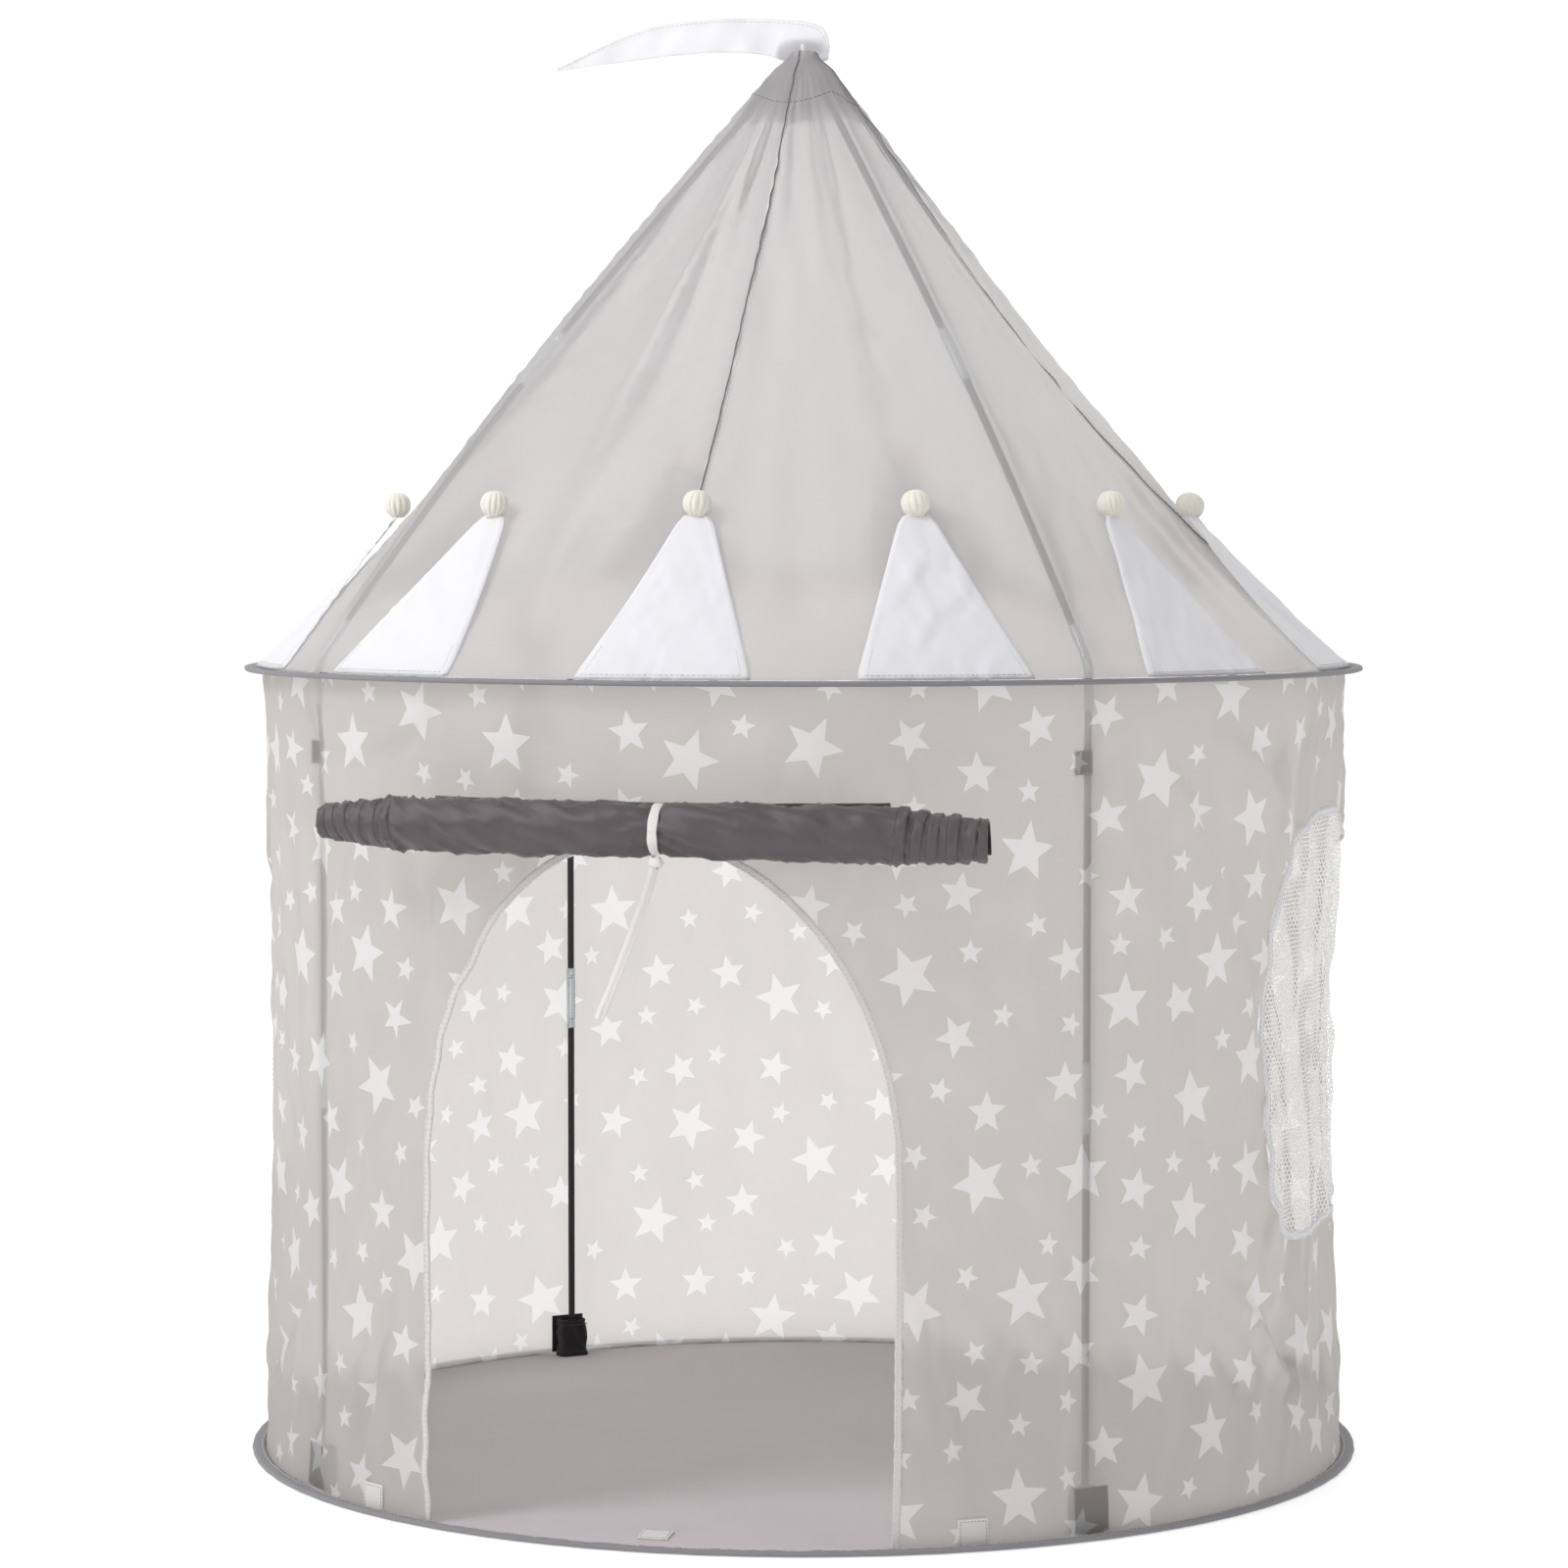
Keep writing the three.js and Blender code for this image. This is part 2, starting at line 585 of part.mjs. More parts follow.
function addDoor() {
  const sides = 12;
  const steps = 14;
  const rings = Array.from({ length: steps + 1 }, (_, i) => {
    const x = THREE.MathUtils.lerp(-ROLL_LEFT, ROLL_RIGHT, i / steps);
    const middle = rollCentre(x);
    return Array.from({ length: sides }, (_, j) => {
      const angle = (j / sides) * 4 * QUARTER;
      const radius = rollRadius(x);
      return new THREE.Vector3(x, middle.y + radius * Math.cos(angle), middle.z + radius * Math.sin(angle));
    });
  });
  add("door_roll", loft(rings), doorCloth);

  const inside = rollRadius(TIE_X + TIE_WIDTH) + 2 * GAP;
  const band = [
    [inside, -TIE_WIDTH / 2],
    [inside + TIE_THICK, -TIE_WIDTH / 2],
    [inside + TIE_THICK, TIE_WIDTH / 2],
    [inside, TIE_WIDTH / 2],
  ];
  const points = [...band, band[0]].map(([r, z]) => new THREE.Vector2(r, z));
  const middle = rollCentre(TIE_X);
  const loop = new THREE.LatheGeometry(points, 16).rotateZ(QUARTER).translate(TIE_X, middle.y, middle.z);
  const knotOut = inside + TIE_THICK + KNOT - KNOT_SUNK;
  const knotY = middle.y - knotOut * Math.cos(KNOT_ANGLE);
  const knotZ = middle.z - knotOut * Math.sin(KNOT_ANGLE);
  const knot = new THREE.SphereGeometry(KNOT, 8, 6).translate(KNOT_X, knotY, knotZ);
  add("tie_loop", toGeometry(toSolid(loop).add(toSolid(knot))), paleTrim);

  const tail = new THREE.CatmullRomCurve3(TIE_TAIL.map((p) => new THREE.Vector3(...p)));
  const section = new THREE.Shape(
    polygon(1, 8).map((p) => new THREE.Vector2((p.x * TIE_THICK) / 2, (p.y * TIE_WIDTH) / 2)),
  );
  const strip = new THREE.ExtrudeGeometry(section, { extrudePath: tail, steps: 8, bevelEnabled: false });
  add("tie_tail", strip, paleTrim);
}

function addPennant() {
  const shape = new THREE.Shape();
  const [tipX, tipZ] = PENNANT_TIP;
  shape.moveTo(PENNANT_STEM, PENNANT_FOOT);
  shape.lineTo(PENNANT_STEM, PENNANT_LOW);
  shape.lineTo(PENNANT_HEEL, PENNANT_LOW + 6);
  shape.quadraticCurveTo(PENNANT_HEEL - 2, PENNANT_TOP - 5, 0, PENNANT_TOP);
  shape.bezierCurveTo(tipX / 4, PENNANT_TOP + 7, tipX * 0.62, PENNANT_TOP + 3, tipX, tipZ);
  shape.bezierCurveTo(tipX * 0.8, tipZ + 3, tipX * 0.5, PENNANT_LOW + 1, tipX / 4, PENNANT_LOW + 1);
  shape.quadraticCurveTo(tipX / 12, PENNANT_LOW + 1, -PENNANT_STEM, PENNANT_LOW);
  shape.lineTo(-PENNANT_STEM, PENNANT_FOOT);
  shape.closePath();
  const depth = PENNANT_THICK;
  const plate = new THREE.ExtrudeGeometry(shape, { depth, bevelEnabled: false, curveSegments: 6 });
  plate.translate(0, 0, -depth / 2).rotateX(QUARTER);
  add("pennant", plate, whiteCloth);
}

addHoops();
addGroundSheet();
addWall();
addRoof();
addPoles();
addFlaps();
addDoor();
addPennant();

export default tent;
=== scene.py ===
"""A round play tent with a pointed roof: cloth, net, tape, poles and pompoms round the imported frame.

Metres, +Z up, the doorway faces -Y. Angles round the tent count from the doorway towards +X.
"""

import math
import random

import bpy
import numpy as np
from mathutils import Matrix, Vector
from mathutils.geometry import delaunay_2d_cdt


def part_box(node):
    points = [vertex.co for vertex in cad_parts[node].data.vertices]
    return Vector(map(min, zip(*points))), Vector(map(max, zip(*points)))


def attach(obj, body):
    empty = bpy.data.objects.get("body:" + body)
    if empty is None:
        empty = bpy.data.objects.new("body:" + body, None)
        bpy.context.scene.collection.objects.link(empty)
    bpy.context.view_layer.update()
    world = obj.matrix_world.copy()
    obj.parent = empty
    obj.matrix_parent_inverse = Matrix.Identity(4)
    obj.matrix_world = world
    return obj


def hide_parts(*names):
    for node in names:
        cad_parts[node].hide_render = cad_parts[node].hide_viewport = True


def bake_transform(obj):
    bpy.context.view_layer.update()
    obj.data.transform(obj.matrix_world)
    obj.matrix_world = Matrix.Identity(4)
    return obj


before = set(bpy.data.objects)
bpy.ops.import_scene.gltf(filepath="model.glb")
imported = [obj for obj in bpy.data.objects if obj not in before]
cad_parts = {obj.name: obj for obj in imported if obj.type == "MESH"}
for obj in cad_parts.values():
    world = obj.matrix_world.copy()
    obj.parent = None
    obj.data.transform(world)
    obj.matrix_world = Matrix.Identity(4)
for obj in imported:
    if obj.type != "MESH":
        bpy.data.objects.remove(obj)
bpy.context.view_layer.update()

# ---- Places, from the frame ------------------------------------------------------------------------

DEG = math.pi / 180
QUARTER = 90 * DEG
MM = 0.001

RING_LOW, RING_HIGH = (corner.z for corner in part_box("top_binding"))
RING_Z = (RING_LOW + RING_HIGH) / 2
RING_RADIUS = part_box("top_binding")[1].x
GROUND_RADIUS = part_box("bottom_binding")[1].x
SHEET_RADIUS, SHEET_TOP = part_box("ground_sheet")[1].x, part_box("ground_sheet")[1].z
WALL_LOW, WALL_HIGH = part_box("wall_right")[0].z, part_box("wall_right")[1].z
WALL_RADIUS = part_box("wall_right")[1].x
WALL_WAIST = 10 * MM

DOOR_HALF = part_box("door_binding")[1].x
DOOR_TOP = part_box("door_binding")[1].z
DOOR_RISE = 273 * MM  # height of the arch above its springing
WINDOW_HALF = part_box("window_binding_right")[1].y
WINDOW_LOW, WINDOW_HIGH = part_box("window_binding_right")[0].z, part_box("window_binding_right")[1].z
WINDOW_TOP_CORNER, WINDOW_LOW_CORNER = 130 * MM, 60 * MM

ROOF_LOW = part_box("roof_front_right")[0].z
ROOF_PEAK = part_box("roof_front_right")[1].z
ROOF_SHOULDER = ROOF_PEAK - 5 * MM
ROOF_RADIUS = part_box("roof_front_right")[1].x
ROOF_TOP_RADIUS, ROOF_HOLE = 18 * MM, 5 * MM
POLE_BOW, SEAM_BOW, POLE_SKEW, SEAM_SKEW = 18 * MM, 35 * MM, 0.88, 0.82

CORNERS = {"front_right": 45 * DEG, "back_right": 135 * DEG, "back_left": -135 * DEG, "front_left": -45 * DEG}


def at(phi, radius, z):
    """Points at angle phi round the axis, as an array whose last side is x, y, z."""
    phi, radius, z = np.broadcast_arrays(phi, radius, z)
    return np.stack([radius * np.sin(phi), -radius * np.cos(phi), z], -1)


def smooth(t):
    t = np.clip(t, 0, 1)
    return t * t * (3 - 2 * t)


RIPPLE_WAVES = 9


def ripple(u, v, wave_u, wave_v, seed):
    """Smooth wandering noise, about -1 to 1, with these typical wavelengths along u and v."""
    draw = random.Random(seed)
    total = 0
    for _ in range(RIPPLE_WAVES):
        ku = draw.uniform(0.55, 1.6) * draw.choice((-1, 1)) / wave_u
        kv = draw.uniform(0.3, 1.6) / wave_v
        total = total + np.sin(2 * math.pi * (ku * u + kv * v) + draw.uniform(0, 6.3))
    return total / math.sqrt(RIPPLE_WAVES * 0.9)


# ---- Materials -------------------------------------------------------------------------------------


class Nodes:
    """A material's node tree, with short ways to add and join nodes."""

    def __init__(self, name):
        self.material = bpy.data.materials.new(name)
        self.material.use_nodes = True
        self.tree = self.material.node_tree
        self.tree.nodes.clear()

    def add(self, kind, **inputs):
        node = self.tree.nodes.new(kind)
        for key, value in inputs.items():
            if key[0] == "_":
                setattr(node, key[1:], value)
            else:
                self.join(value, node.inputs[key.replace("_", " ")])
        return node

    def join(self, value, socket):
        if isinstance(value, bpy.types.NodeSocket):
            self.tree.links.new(value, socket)
        else:
            socket.default_value = value

    def math(self, operation, a, b=0.0, c=0.0):
        node = self.tree.nodes.new("ShaderNodeMath")
        node.operation = operation
        for value, socket in zip((a, b, c), node.inputs):
            self.join(value, socket)
        return node.outputs[0]

    def noise(self, vector, scale, detail=3.0):
        return self.add("ShaderNodeTexNoise", Vector=vector, Scale=scale, Detail=detail).outputs["Fac"]

    def mix(self, factor, a, b):
        node = self.tree.nodes.new("ShaderNodeMix")
        node.data_type = "RGBA"
        for value, socket in zip((factor, a, b), (node.inputs[0], node.inputs[6], node.inputs[7])):
            self.join(value, socket)
        return node.outputs[2]

    def between(self, factor, a, b):
        node = self.tree.nodes.new("ShaderNodeMixShader")
        for value, socket in zip((factor, a, b), node.inputs):
            self.join(value, socket)
        return node.outputs[0]

    def out(self, shader):
        output = self.tree.nodes.new("ShaderNodeOutputMaterial")
        self.tree.links.new(shader, output.inputs["Surface"])
        return self.material


def linear(*srgb):
    """A colour given as 11 to 255 on screen, as the renderer's linear colour."""
    return (*[((c / 255 + 0.055) / 1.055) ** 2.4 for c in srgb], 1.0)


def shade(color, factor):
    return (*[min(1.0, c * factor) for c in color[:3]], 1.0)


def woven(nodes, pitch):
    """The height of a plain weave whose threads are pitch apart, over the piece's UV map in metres."""
    uv = nodes.add("ShaderNodeSeparateXYZ", Vector=nodes.add("ShaderNodeUVMap").outputs[0])
    turn = 2 * math.pi / pitch
    across = nodes.math("SINE", nodes.math("MULTIPLY", uv.outputs[0], turn))
    along = nodes.math("SINE", nodes.math("MULTIPLY", uv.outputs[1], turn))
    return nodes.math("MULTIPLY_ADD", nodes.math("MULTIPLY", across, along), 0.5, 0.5)


CLOTH_HAZE = 0.38  # how far light that comes nearly straight through a cloth is spread


def cloth(name, color, glow=0.0, clear=0.0, shine=None, roughness=0.85, sheen=0.1, pitch=0.9 * MM,
          mottle=0.05, bump=0.25, specular=0.25):
    """Woven cloth. Of the light that meets it, the share glow comes through scattered and the share clear
    comes through nearly straight. shine is its colour by that light."""
    nodes = Nodes(name)
    place = nodes.add("ShaderNodeTexCoord").outputs["Object"]
    cloudy = nodes.noise(place, 9.0, 4.0)
    uv = nodes.add("ShaderNodeUVMap").outputs[0]
    threads = nodes.add("ShaderNodeMapping", Vector=uv, Scale=(70, 900, 1))
    streaky = nodes.noise(threads.outputs[0], 1.0, 2.0)
    factor = nodes.math("MULTIPLY_ADD", cloudy, 0.6, nodes.math("MULTIPLY", streaky, 0.4))
    tone = nodes.mix(factor, shade(color, 1 - mottle), shade(color, 1 + mottle))
    fine = nodes.noise(place, 70.0, 4.0)
    height = nodes.math("MULTIPLY_ADD", woven(nodes, pitch), 0.35, nodes.math("MULTIPLY", fine, 0.65))
    normal = nodes.add("ShaderNodeBump", Height=height, Strength=bump, Distance=0.0012).outputs[0]
    surface = nodes.add("ShaderNodeBsdfPrincipled", Base_Color=tone, Roughness=roughness, Normal=normal,
                        Sheen_Weight=sheen, Sheen_Roughness=0.5, Specular_IOR_Level=specular).outputs[0]
    lit = nodes.mix(factor, shade(shine or color, 1 - mottle), shade(shine or color, 1 + mottle))
    if glow:
        through = nodes.add("ShaderNodeBsdfTranslucent", Color=lit, Normal=normal).outputs[0]
        surface = nodes.between(glow / (1 - clear), surface, through)
    if clear:
        straight = nodes.add("ShaderNodeBsdfRefraction", Color=lit, Roughness=CLOTH_HAZE, IOR=1.1).outputs[0]
        surface = nodes.between(clear, surface, straight)
    return nodes.out(surface)


def hard(name, color, roughness, metallic=0.0):
    """A hard finish with fine drawn marks along it."""
    nodes = Nodes(name)
    place = nodes.add("ShaderNodeTexCoord").outputs["Object"]
    drawn = nodes.add("ShaderNodeMapping", Vector=place, Scale=(40, 40, 900)).outputs[0]
    marks = nodes.noise(drawn, 1.0, 3.0)
    tone = nodes.mix(marks, shade(color, 0.85), shade(color, 1.15))
    rough = nodes.math("MULTIPLY_ADD", marks, 0.15, roughness - 0.075)
    normal = nodes.add("ShaderNodeBump", Height=marks, Strength=0.15, Distance=0.0004).outputs[0]
    body = nodes.add("ShaderNodeBsdfPrincipled", Base_Color=tone, Roughness=rough, Metallic=metallic,
                     Normal=normal)
    return nodes.out(body.outputs[0])


WALL = cloth("wall_cloth", linear(191, 187, 183), glow=0.36, clear=0.26, shine=linear(240, 238, 235))
STAR = cloth("star_print", linear(240, 239, 238), glow=0.40, clear=0.24, shine=linear(253, 252, 251),
             roughness=0.7)
ROOF = cloth("roof_cloth", linear(201, 199, 199), glow=0.38, clear=0.28, shine=linear(246, 245, 245))
LINING = cloth("roof_lining", linear(166, 162, 168), glow=0.5, clear=0.2, shine=linear(204, 201, 206))
FLOOR = cloth("floor_cloth", linear(190, 182, 185), roughness=0.8, bump=0.4, mottle=0.08)
RING = cloth("ring_tape", linear(128, 127, 131), roughness=0.75, pitch=1.2 * MM)
FLANGE = cloth("ground_tape", linear(134, 132, 136), roughness=0.75, pitch=1.2 * MM)
# Painted shade: the roof seams' dark grey stands in for the doubled cloth seen against the light and the
# shadow along the raised seam.
SEAM_SHADE = cloth("seam_painted_shade", linear(112, 110, 113), roughness=0.8, pitch=1.2 * MM)
DOOR = cloth("door_cloth", linear(78, 71, 74), roughness=0.42, sheen=0.12, pitch=0.8 * MM, mottle=0.1,
             specular=0.4)
WHITE = cloth("white_cloth", linear(234, 234, 237), glow=0.2, roughness=0.7, mottle=0.02)
POMPOM_CLOTH = cloth("pompom_cloth", linear(221, 218, 208), roughness=0.9, sheen=0.3)
FLAG = cloth("pennant_cloth", linear(240, 240, 242), glow=0.42, clear=0.1, roughness=0.7)
TAPE = cloth("white_tape", linear(236, 232, 231), glow=0.2, pitch=1.1 * MM, bump=0.5)
TRIM = cloth("door_trim", linear(232, 229, 227), glow=0.35, pitch=1.1 * MM, bump=0.5)
NET = cloth("window_net", linear(246, 245, 243), glow=0.35, roughness=0.8, pitch=0.6 * MM)
HOOK = cloth("hook_tape", linear(230, 228, 226), glow=0.1, pitch=1.6 * MM, bump=1.0)
BLACK = cloth("black_webbing", linear(38, 36, 38), roughness=0.8, pitch=1.4 * MM, bump=0.8)
STRAP = cloth("strap_webbing", linear(72, 69, 71), roughness=0.8, pitch=1.4 * MM, bump=0.8)
THREAD = cloth("sewing_thread", linear(205, 203, 203), roughness=0.8, pitch=0.5 * MM)
GREY_THREAD = cloth("grey_thread", linear(146, 143, 143), roughness=0.8, pitch=0.5 * MM)
DARK_THREAD = cloth("dark_thread", linear(84, 80, 84), roughness=0.8, pitch=0.5 * MM)
ROD_GLASS = hard("black_rod", linear(30, 27, 29), 0.38)
STEEL = hard("ferrule_steel", linear(205, 212, 214), 0.26, metallic=1.0)
WIRE = hard("hoop_wire", linear(150, 152, 155), 0.4, metallic=1.0)


# ---- Making pieces ---------------------------------------------------------------------------------


def piece(name, points, faces, materials, body, replaces=(), uv=None, kinds=None):
    """A smooth mesh object that rides on a body. uv is in metres for each point, and kinds picks from a
    list of materials."""
    mesh = bpy.data.meshes.new(name)
    points = np.asarray(points, float).reshape(-1, 3)
    mesh.from_pydata(points.tolist(), [], [list(f) for f in faces])
    for material in materials if isinstance(materials, (list, tuple)) else [materials]:
        mesh.materials.append(material)
    if kinds is not None:
        mesh.polygons.foreach_set("material_index", np.asarray(kinds, np.int32))
    mesh.polygons.foreach_set("use_smooth", np.ones(len(mesh.polygons), bool))
    if uv is None:
        uv = points[:, :2] + points[:, 2:] * [[0.6, 0.8]]
    corners = np.zeros(len(mesh.loops), np.int32)
    mesh.loops.foreach_get("vertex_index", corners)
    layer = mesh.uv_layers.new(name="UVMap")
    layer.data.foreach_set("uv", np.asarray(uv, np.float32).reshape(-1, 2)[corners].ravel())
    mesh.validate()
    mesh.update()
    obj = bpy.data.objects.new(name, mesh)
    bpy.context.scene.collection.objects.link(obj)
    if body:
        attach(obj, body)
    if replaces:
        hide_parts(*([replaces] if isinstance(replaces, str) else replaces))
    return obj


def grid_faces(rows, columns, wrap_rows=False, wrap_columns=False):
    """Quads over a rows by columns array of points, with its first side counted by row."""
    faces = []
    for i in range(rows if wrap_rows else rows - 1):
        here, ahead = i * columns, (i + 1) % rows * columns
        for j in range(columns if wrap_columns else columns - 1):
            k = (j + 1) % columns
            faces.append((here + j, here + k, ahead + k, ahead + j))
    return faces


def thick_sheet(outer, inner):
    """Points and faces of a closed sheet between two arrays of points, rows by columns by 3."""
    rows, columns = outer.shape[:2]
    count = rows * columns
    faces = grid_faces(rows, columns)
    faces += [tuple(count + k for k in reversed(f)) for f in grid_faces(rows, columns)]
    edge = [(0, j) for j in range(columns)] + [(i, columns - 1) for i in range(1, rows)]
    edge += [(rows - 1, j) for j in range(columns - 2, -1, -1)] + [(i, 0) for i in range(rows - 2, 0, -1)]
    rim = [i * columns + j for i, j in edge]
    for a, b in zip(rim, rim[1:] + rim[:1]):
        faces.append((b, a, count + a, count + b))
    return np.concatenate([outer.reshape(-1, 3), inner.reshape(-1, 3)]), faces


def unit(vectors):
    return vectors / np.linalg.norm(vectors, axis=-1, keepdims=True)


def once_round(count):
    """Angles of count places evenly round the axis."""
    return np.arange(count) / count * 4 * QUARTER


def read_off(where, run, path):
    """The points of a path at these lengths along it."""
    return np.stack([np.interp(where, run, path[:, k]) for k in range(path.shape[1])], -1)


def scaled(section, wide, thick):
    """A section for each point of a path, from its widths and thicknesses there as shares."""
    return section[None] * np.stack([wide, thick], -1)[:, None]


def uv_both(x, y):
    """UV for the two faces of a closed sheet."""
    return np.tile(np.stack([x, y], -1).reshape(-1, 2), (2, 1))


def run_along(path):
    """How far along a path each of its points lies."""
    return np.concatenate([[0], np.cumsum(np.linalg.norm(np.diff(path, axis=0), axis=1))])


def closed_up(path):
    return np.concatenate([path, path[:1]])


def end_caps(rows, columns):
    """The two flat ends of a tube whose points are counted ring by ring."""
    last = (rows - 1) * columns
    return [tuple(range(columns - 1, -1, -1)), tuple(range(last, last + columns))]


def frames_along(path, up, closed=False):
    """Unit sides and ups along a path, with each up kept near the one given."""
    path = np.asarray(path, float)
    if closed:
        tangent = np.roll(path, -1, 0) - np.roll(path, 1, 0)
    else:
        tangent = np.gradient(path, axis=0)
    tangent = unit(tangent)
    side = unit(np.cross(tangent, np.broadcast_to(np.asarray(up, float), path.shape)))
    return side, np.cross(side, tangent)


def swept(path, up, section, closed=False):
    """Points and faces of a section swept along a path. section is n by 2, or one for each point of the path,
    with its first number to the side and its second along up."""
    path = np.asarray(path, float)
    side, lift = frames_along(path, up, closed)
    section = np.asarray(section, float)
    if section.ndim == 2:
        section = np.broadcast_to(section, (len(path), *section.shape))
    points = path[:, None] + section[:, :, :1] * side[:, None] + section[:, :, 1:] * lift[:, None]
    faces = grid_faces(len(path), section.shape[1], wrap_rows=closed, wrap_columns=True)
    if not closed:
        faces += end_caps(len(path), section.shape[1])
    return points.reshape(-1, 3), faces


def swept_uv(path, section_count):
    around = np.linspace(0, 1, section_count) * 0.01
    return np.stack(np.meshgrid(run_along(path), around, indexing="ij"), -1).reshape(-1, 2)


def ring_section(radius, sides):
    angles = np.arange(sides) / sides * 2 * math.pi
    return np.stack([radius * np.cos(angles), radius * np.sin(angles)], -1)


def ribbon_section(width, thick, sides=4):
    """A flat strip with rounded edges, counter-clockwise."""
    half, bend = width / 2 - thick / 2, thick / 2
    right = [(half + bend * math.cos(a), bend * math.sin(a)) for a in np.linspace(-QUARTER, QUARTER, sides)]
    left = [(-x, -y) for x, y in right]
    return np.array(right + left)


def tube(name, path, radius, material, body, replaces=(), sides=12, up=(0, 0, 1)):
    points, faces = swept(path, up, ring_section(radius, sides))
    piece(name, points, faces, material, body, replaces, swept_uv(path, sides))


def stitches(name, path, up, material, body, length=3.2 * MM, gap=1.4 * MM, thick=0.35 * MM):
    """A run of separate raised stitches along a path, each sunk at both ends."""
    path = np.asarray(path, float)
    run = run_along(path)
    up = np.broadcast_to(np.asarray(up, float), path.shape)
    starts = np.arange(gap, run[-1] - length, length + gap)
    points, faces = [], []
    for start in starts:
        where = start + np.array([0, 0.25, 0.75, 1]) * length
        over = unit(read_off(where, run, up))
        spine = read_off(where, run, path) + over * (np.array([-0.5, 0.35, 0.35, -0.5]) * thick)[:, None]
        ring, quads = swept(spine, over, ring_section(thick, 5))
        faces += [tuple(len(points) * 20 + k for k in f) for f in quads]
        points.append(ring)
    piece(name, np.concatenate(points), faces, material, body)


# ---- The wall's and roof's surfaces ----------------------------------------------------------------


def wall_radius(z):
    share = z / RING_Z
    return WALL_RADIUS - WALL_WAIST * 4 * share * (1 - share)


FLAT_RADIUS = WALL_RADIUS  # the wall's length round is measured at its foot
POLE_RADIUS = math.hypot(*(((a + b) / 2) for a, b in list(zip(*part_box("pole_front_right_foot_rod")))[:2]))
POLE_CLEAR = 5.0 * MM  # from a pole's centre line to the cloth that is strapped against it
POCKET_CLEAR = 10.6 * MM
STRAP_Z = 637 * MM


def off_pole(phi):
    """How far round the wall a place lies from the nearest pole."""
    turn = phi / QUARTER - 0.5
    return np.abs(turn - np.round(turn)) * QUARTER * FLAT_RADIUS


def drawn_in(phi, z):
    """How far the straps and the taut cloth draw the wall in towards the four poles."""
    clear = POLE_CLEAR + (POCKET_CLEAR - POLE_CLEAR) * smooth((70 * MM - z) / (28 * MM))
    spare = np.maximum(0, wall_radius(z) - POLE_RADIUS - clear)
    strapped = smooth((z - STRAP_Z + 30 * MM) / (24 * MM)) * smooth((STRAP_Z + 46 * MM - z) / (40 * MM))
    taut = np.maximum(smooth((WALL_HIGH - 60 * MM - z) / (60 * MM)), strapped)
    return spare * np.exp(-((off_pole(phi) / (24 * MM)) ** 4)) * taut


def wall_folds(phi, z):
    """How far the soft wall wanders in or out: long folds, upright and slanting, and gathers at its edges."""
    s = phi * FLAT_RADIUS
    top, foot = WALL_HIGH - z, z - WALL_LOW
    from_pole = off_pole(phi)
    loose = smooth(top / 0.09) * smooth(foot / 0.05) * smooth(from_pole / 0.03)
    shift = loose * (2.2 * MM * ripple(s, z, 0.24, 1.1, 1) + 1.9 * MM * ripple(s, z, 0.085, 0.5, 2))
    shift = shift + loose * 1.1 * MM * ripple(s + 0.5 * z, z, 0.055, 0.16, 3)
    shift = shift + loose * 0.8 * MM * ripple(s - 0.35 * z, z, 0.035, 0.3, 7)
    shift = shift + 0.6 * MM * ripple(s, z, 0.021, 0.12, 4) * np.exp(-top / 0.035) * smooth(top / 0.006)
    shift = shift + 0.9 * MM * ripple(s, z, 0.05, 0.2, 5) * np.exp(-foot / 0.05) * smooth(foot / 0.008)
    shift = shift + creases(phi, z) * smooth(top / 0.03) * smooth(foot / 0.03) * smooth(from_pole / 0.03)
    behind_roll = smooth(2.2 - 1.4 * np.hypot(s / 0.3, (z - 0.59) / 0.05))
    return shift - behind_roll * np.maximum(shift, 0)


# Long folds where the cloth hangs slack: from one angle and height to another, in degrees and metres, then
# the fold's width and depth in millimetres.
CREASES = [
    (56, 0.64, 72, 0.40, 20, 7),
    (62, 0.67, 75, 0.60, 14, 5),
    (51, 0.60, 60, 0.30, 18, 4),
    (64, 0.20, 80, 0.10, 18, 5),
    (-63, 0.62, -72, 0.40, 20, 5),
    (-50, 0.16, -68, 0.06, 16, 5),
    (-30, 0.20, -36, 0.04, 15, 4),
    (26, 0.24, 33, 0.04, 16, 4),
    (110, 0.66, 101, 0.44, 20, 6),
    (128, 0.50, 118, 0.12, 24, 5),
    (160, 0.66, 172, 0.30, 24, 5),
    (205, 0.60, 190, 0.2, 24, 5),
    (238, 0.66, 252, 0.42, 20, 5),
    (22, 0.69, 38, 0.62, 13, 3.5),
    (-20, 0.69, -34, 0.63, 13, 3.5),
]
CREASE_DEEPER = 1.25


def creases(phi, z):
    """The valleys of the long folds, each with a low ridge along one side."""
    total = 0
    for from_phi, from_z, to_phi, to_z, width, depth in CREASES:
        run = np.array([(to_phi - from_phi) * DEG * FLAT_RADIUS, to_z - from_z])
        ds = ((phi - from_phi * DEG + math.pi) % (2 * math.pi) - math.pi) * FLAT_RADIUS
        share = (ds * run[0] + (z - from_z) * run[1]) / (run @ run)
        across = (ds * run[1] - (z - from_z) * run[0]) / np.linalg.norm(run)
        across = across + 6 * MM * np.sin(share * 5 + from_phi)
        ends = smooth((share + 0.25) / 0.5) * smooth((1.25 - share) / 0.5)
        valley = np.exp(-((across / (width * MM * 0.5)) ** 2))
        ridge = np.exp(-(((across - width * MM) / (width * MM * 0.6)) ** 2))
        total = total + ends * depth * CREASE_DEEPER * MM * (0.6 * ridge - valley)
    return total


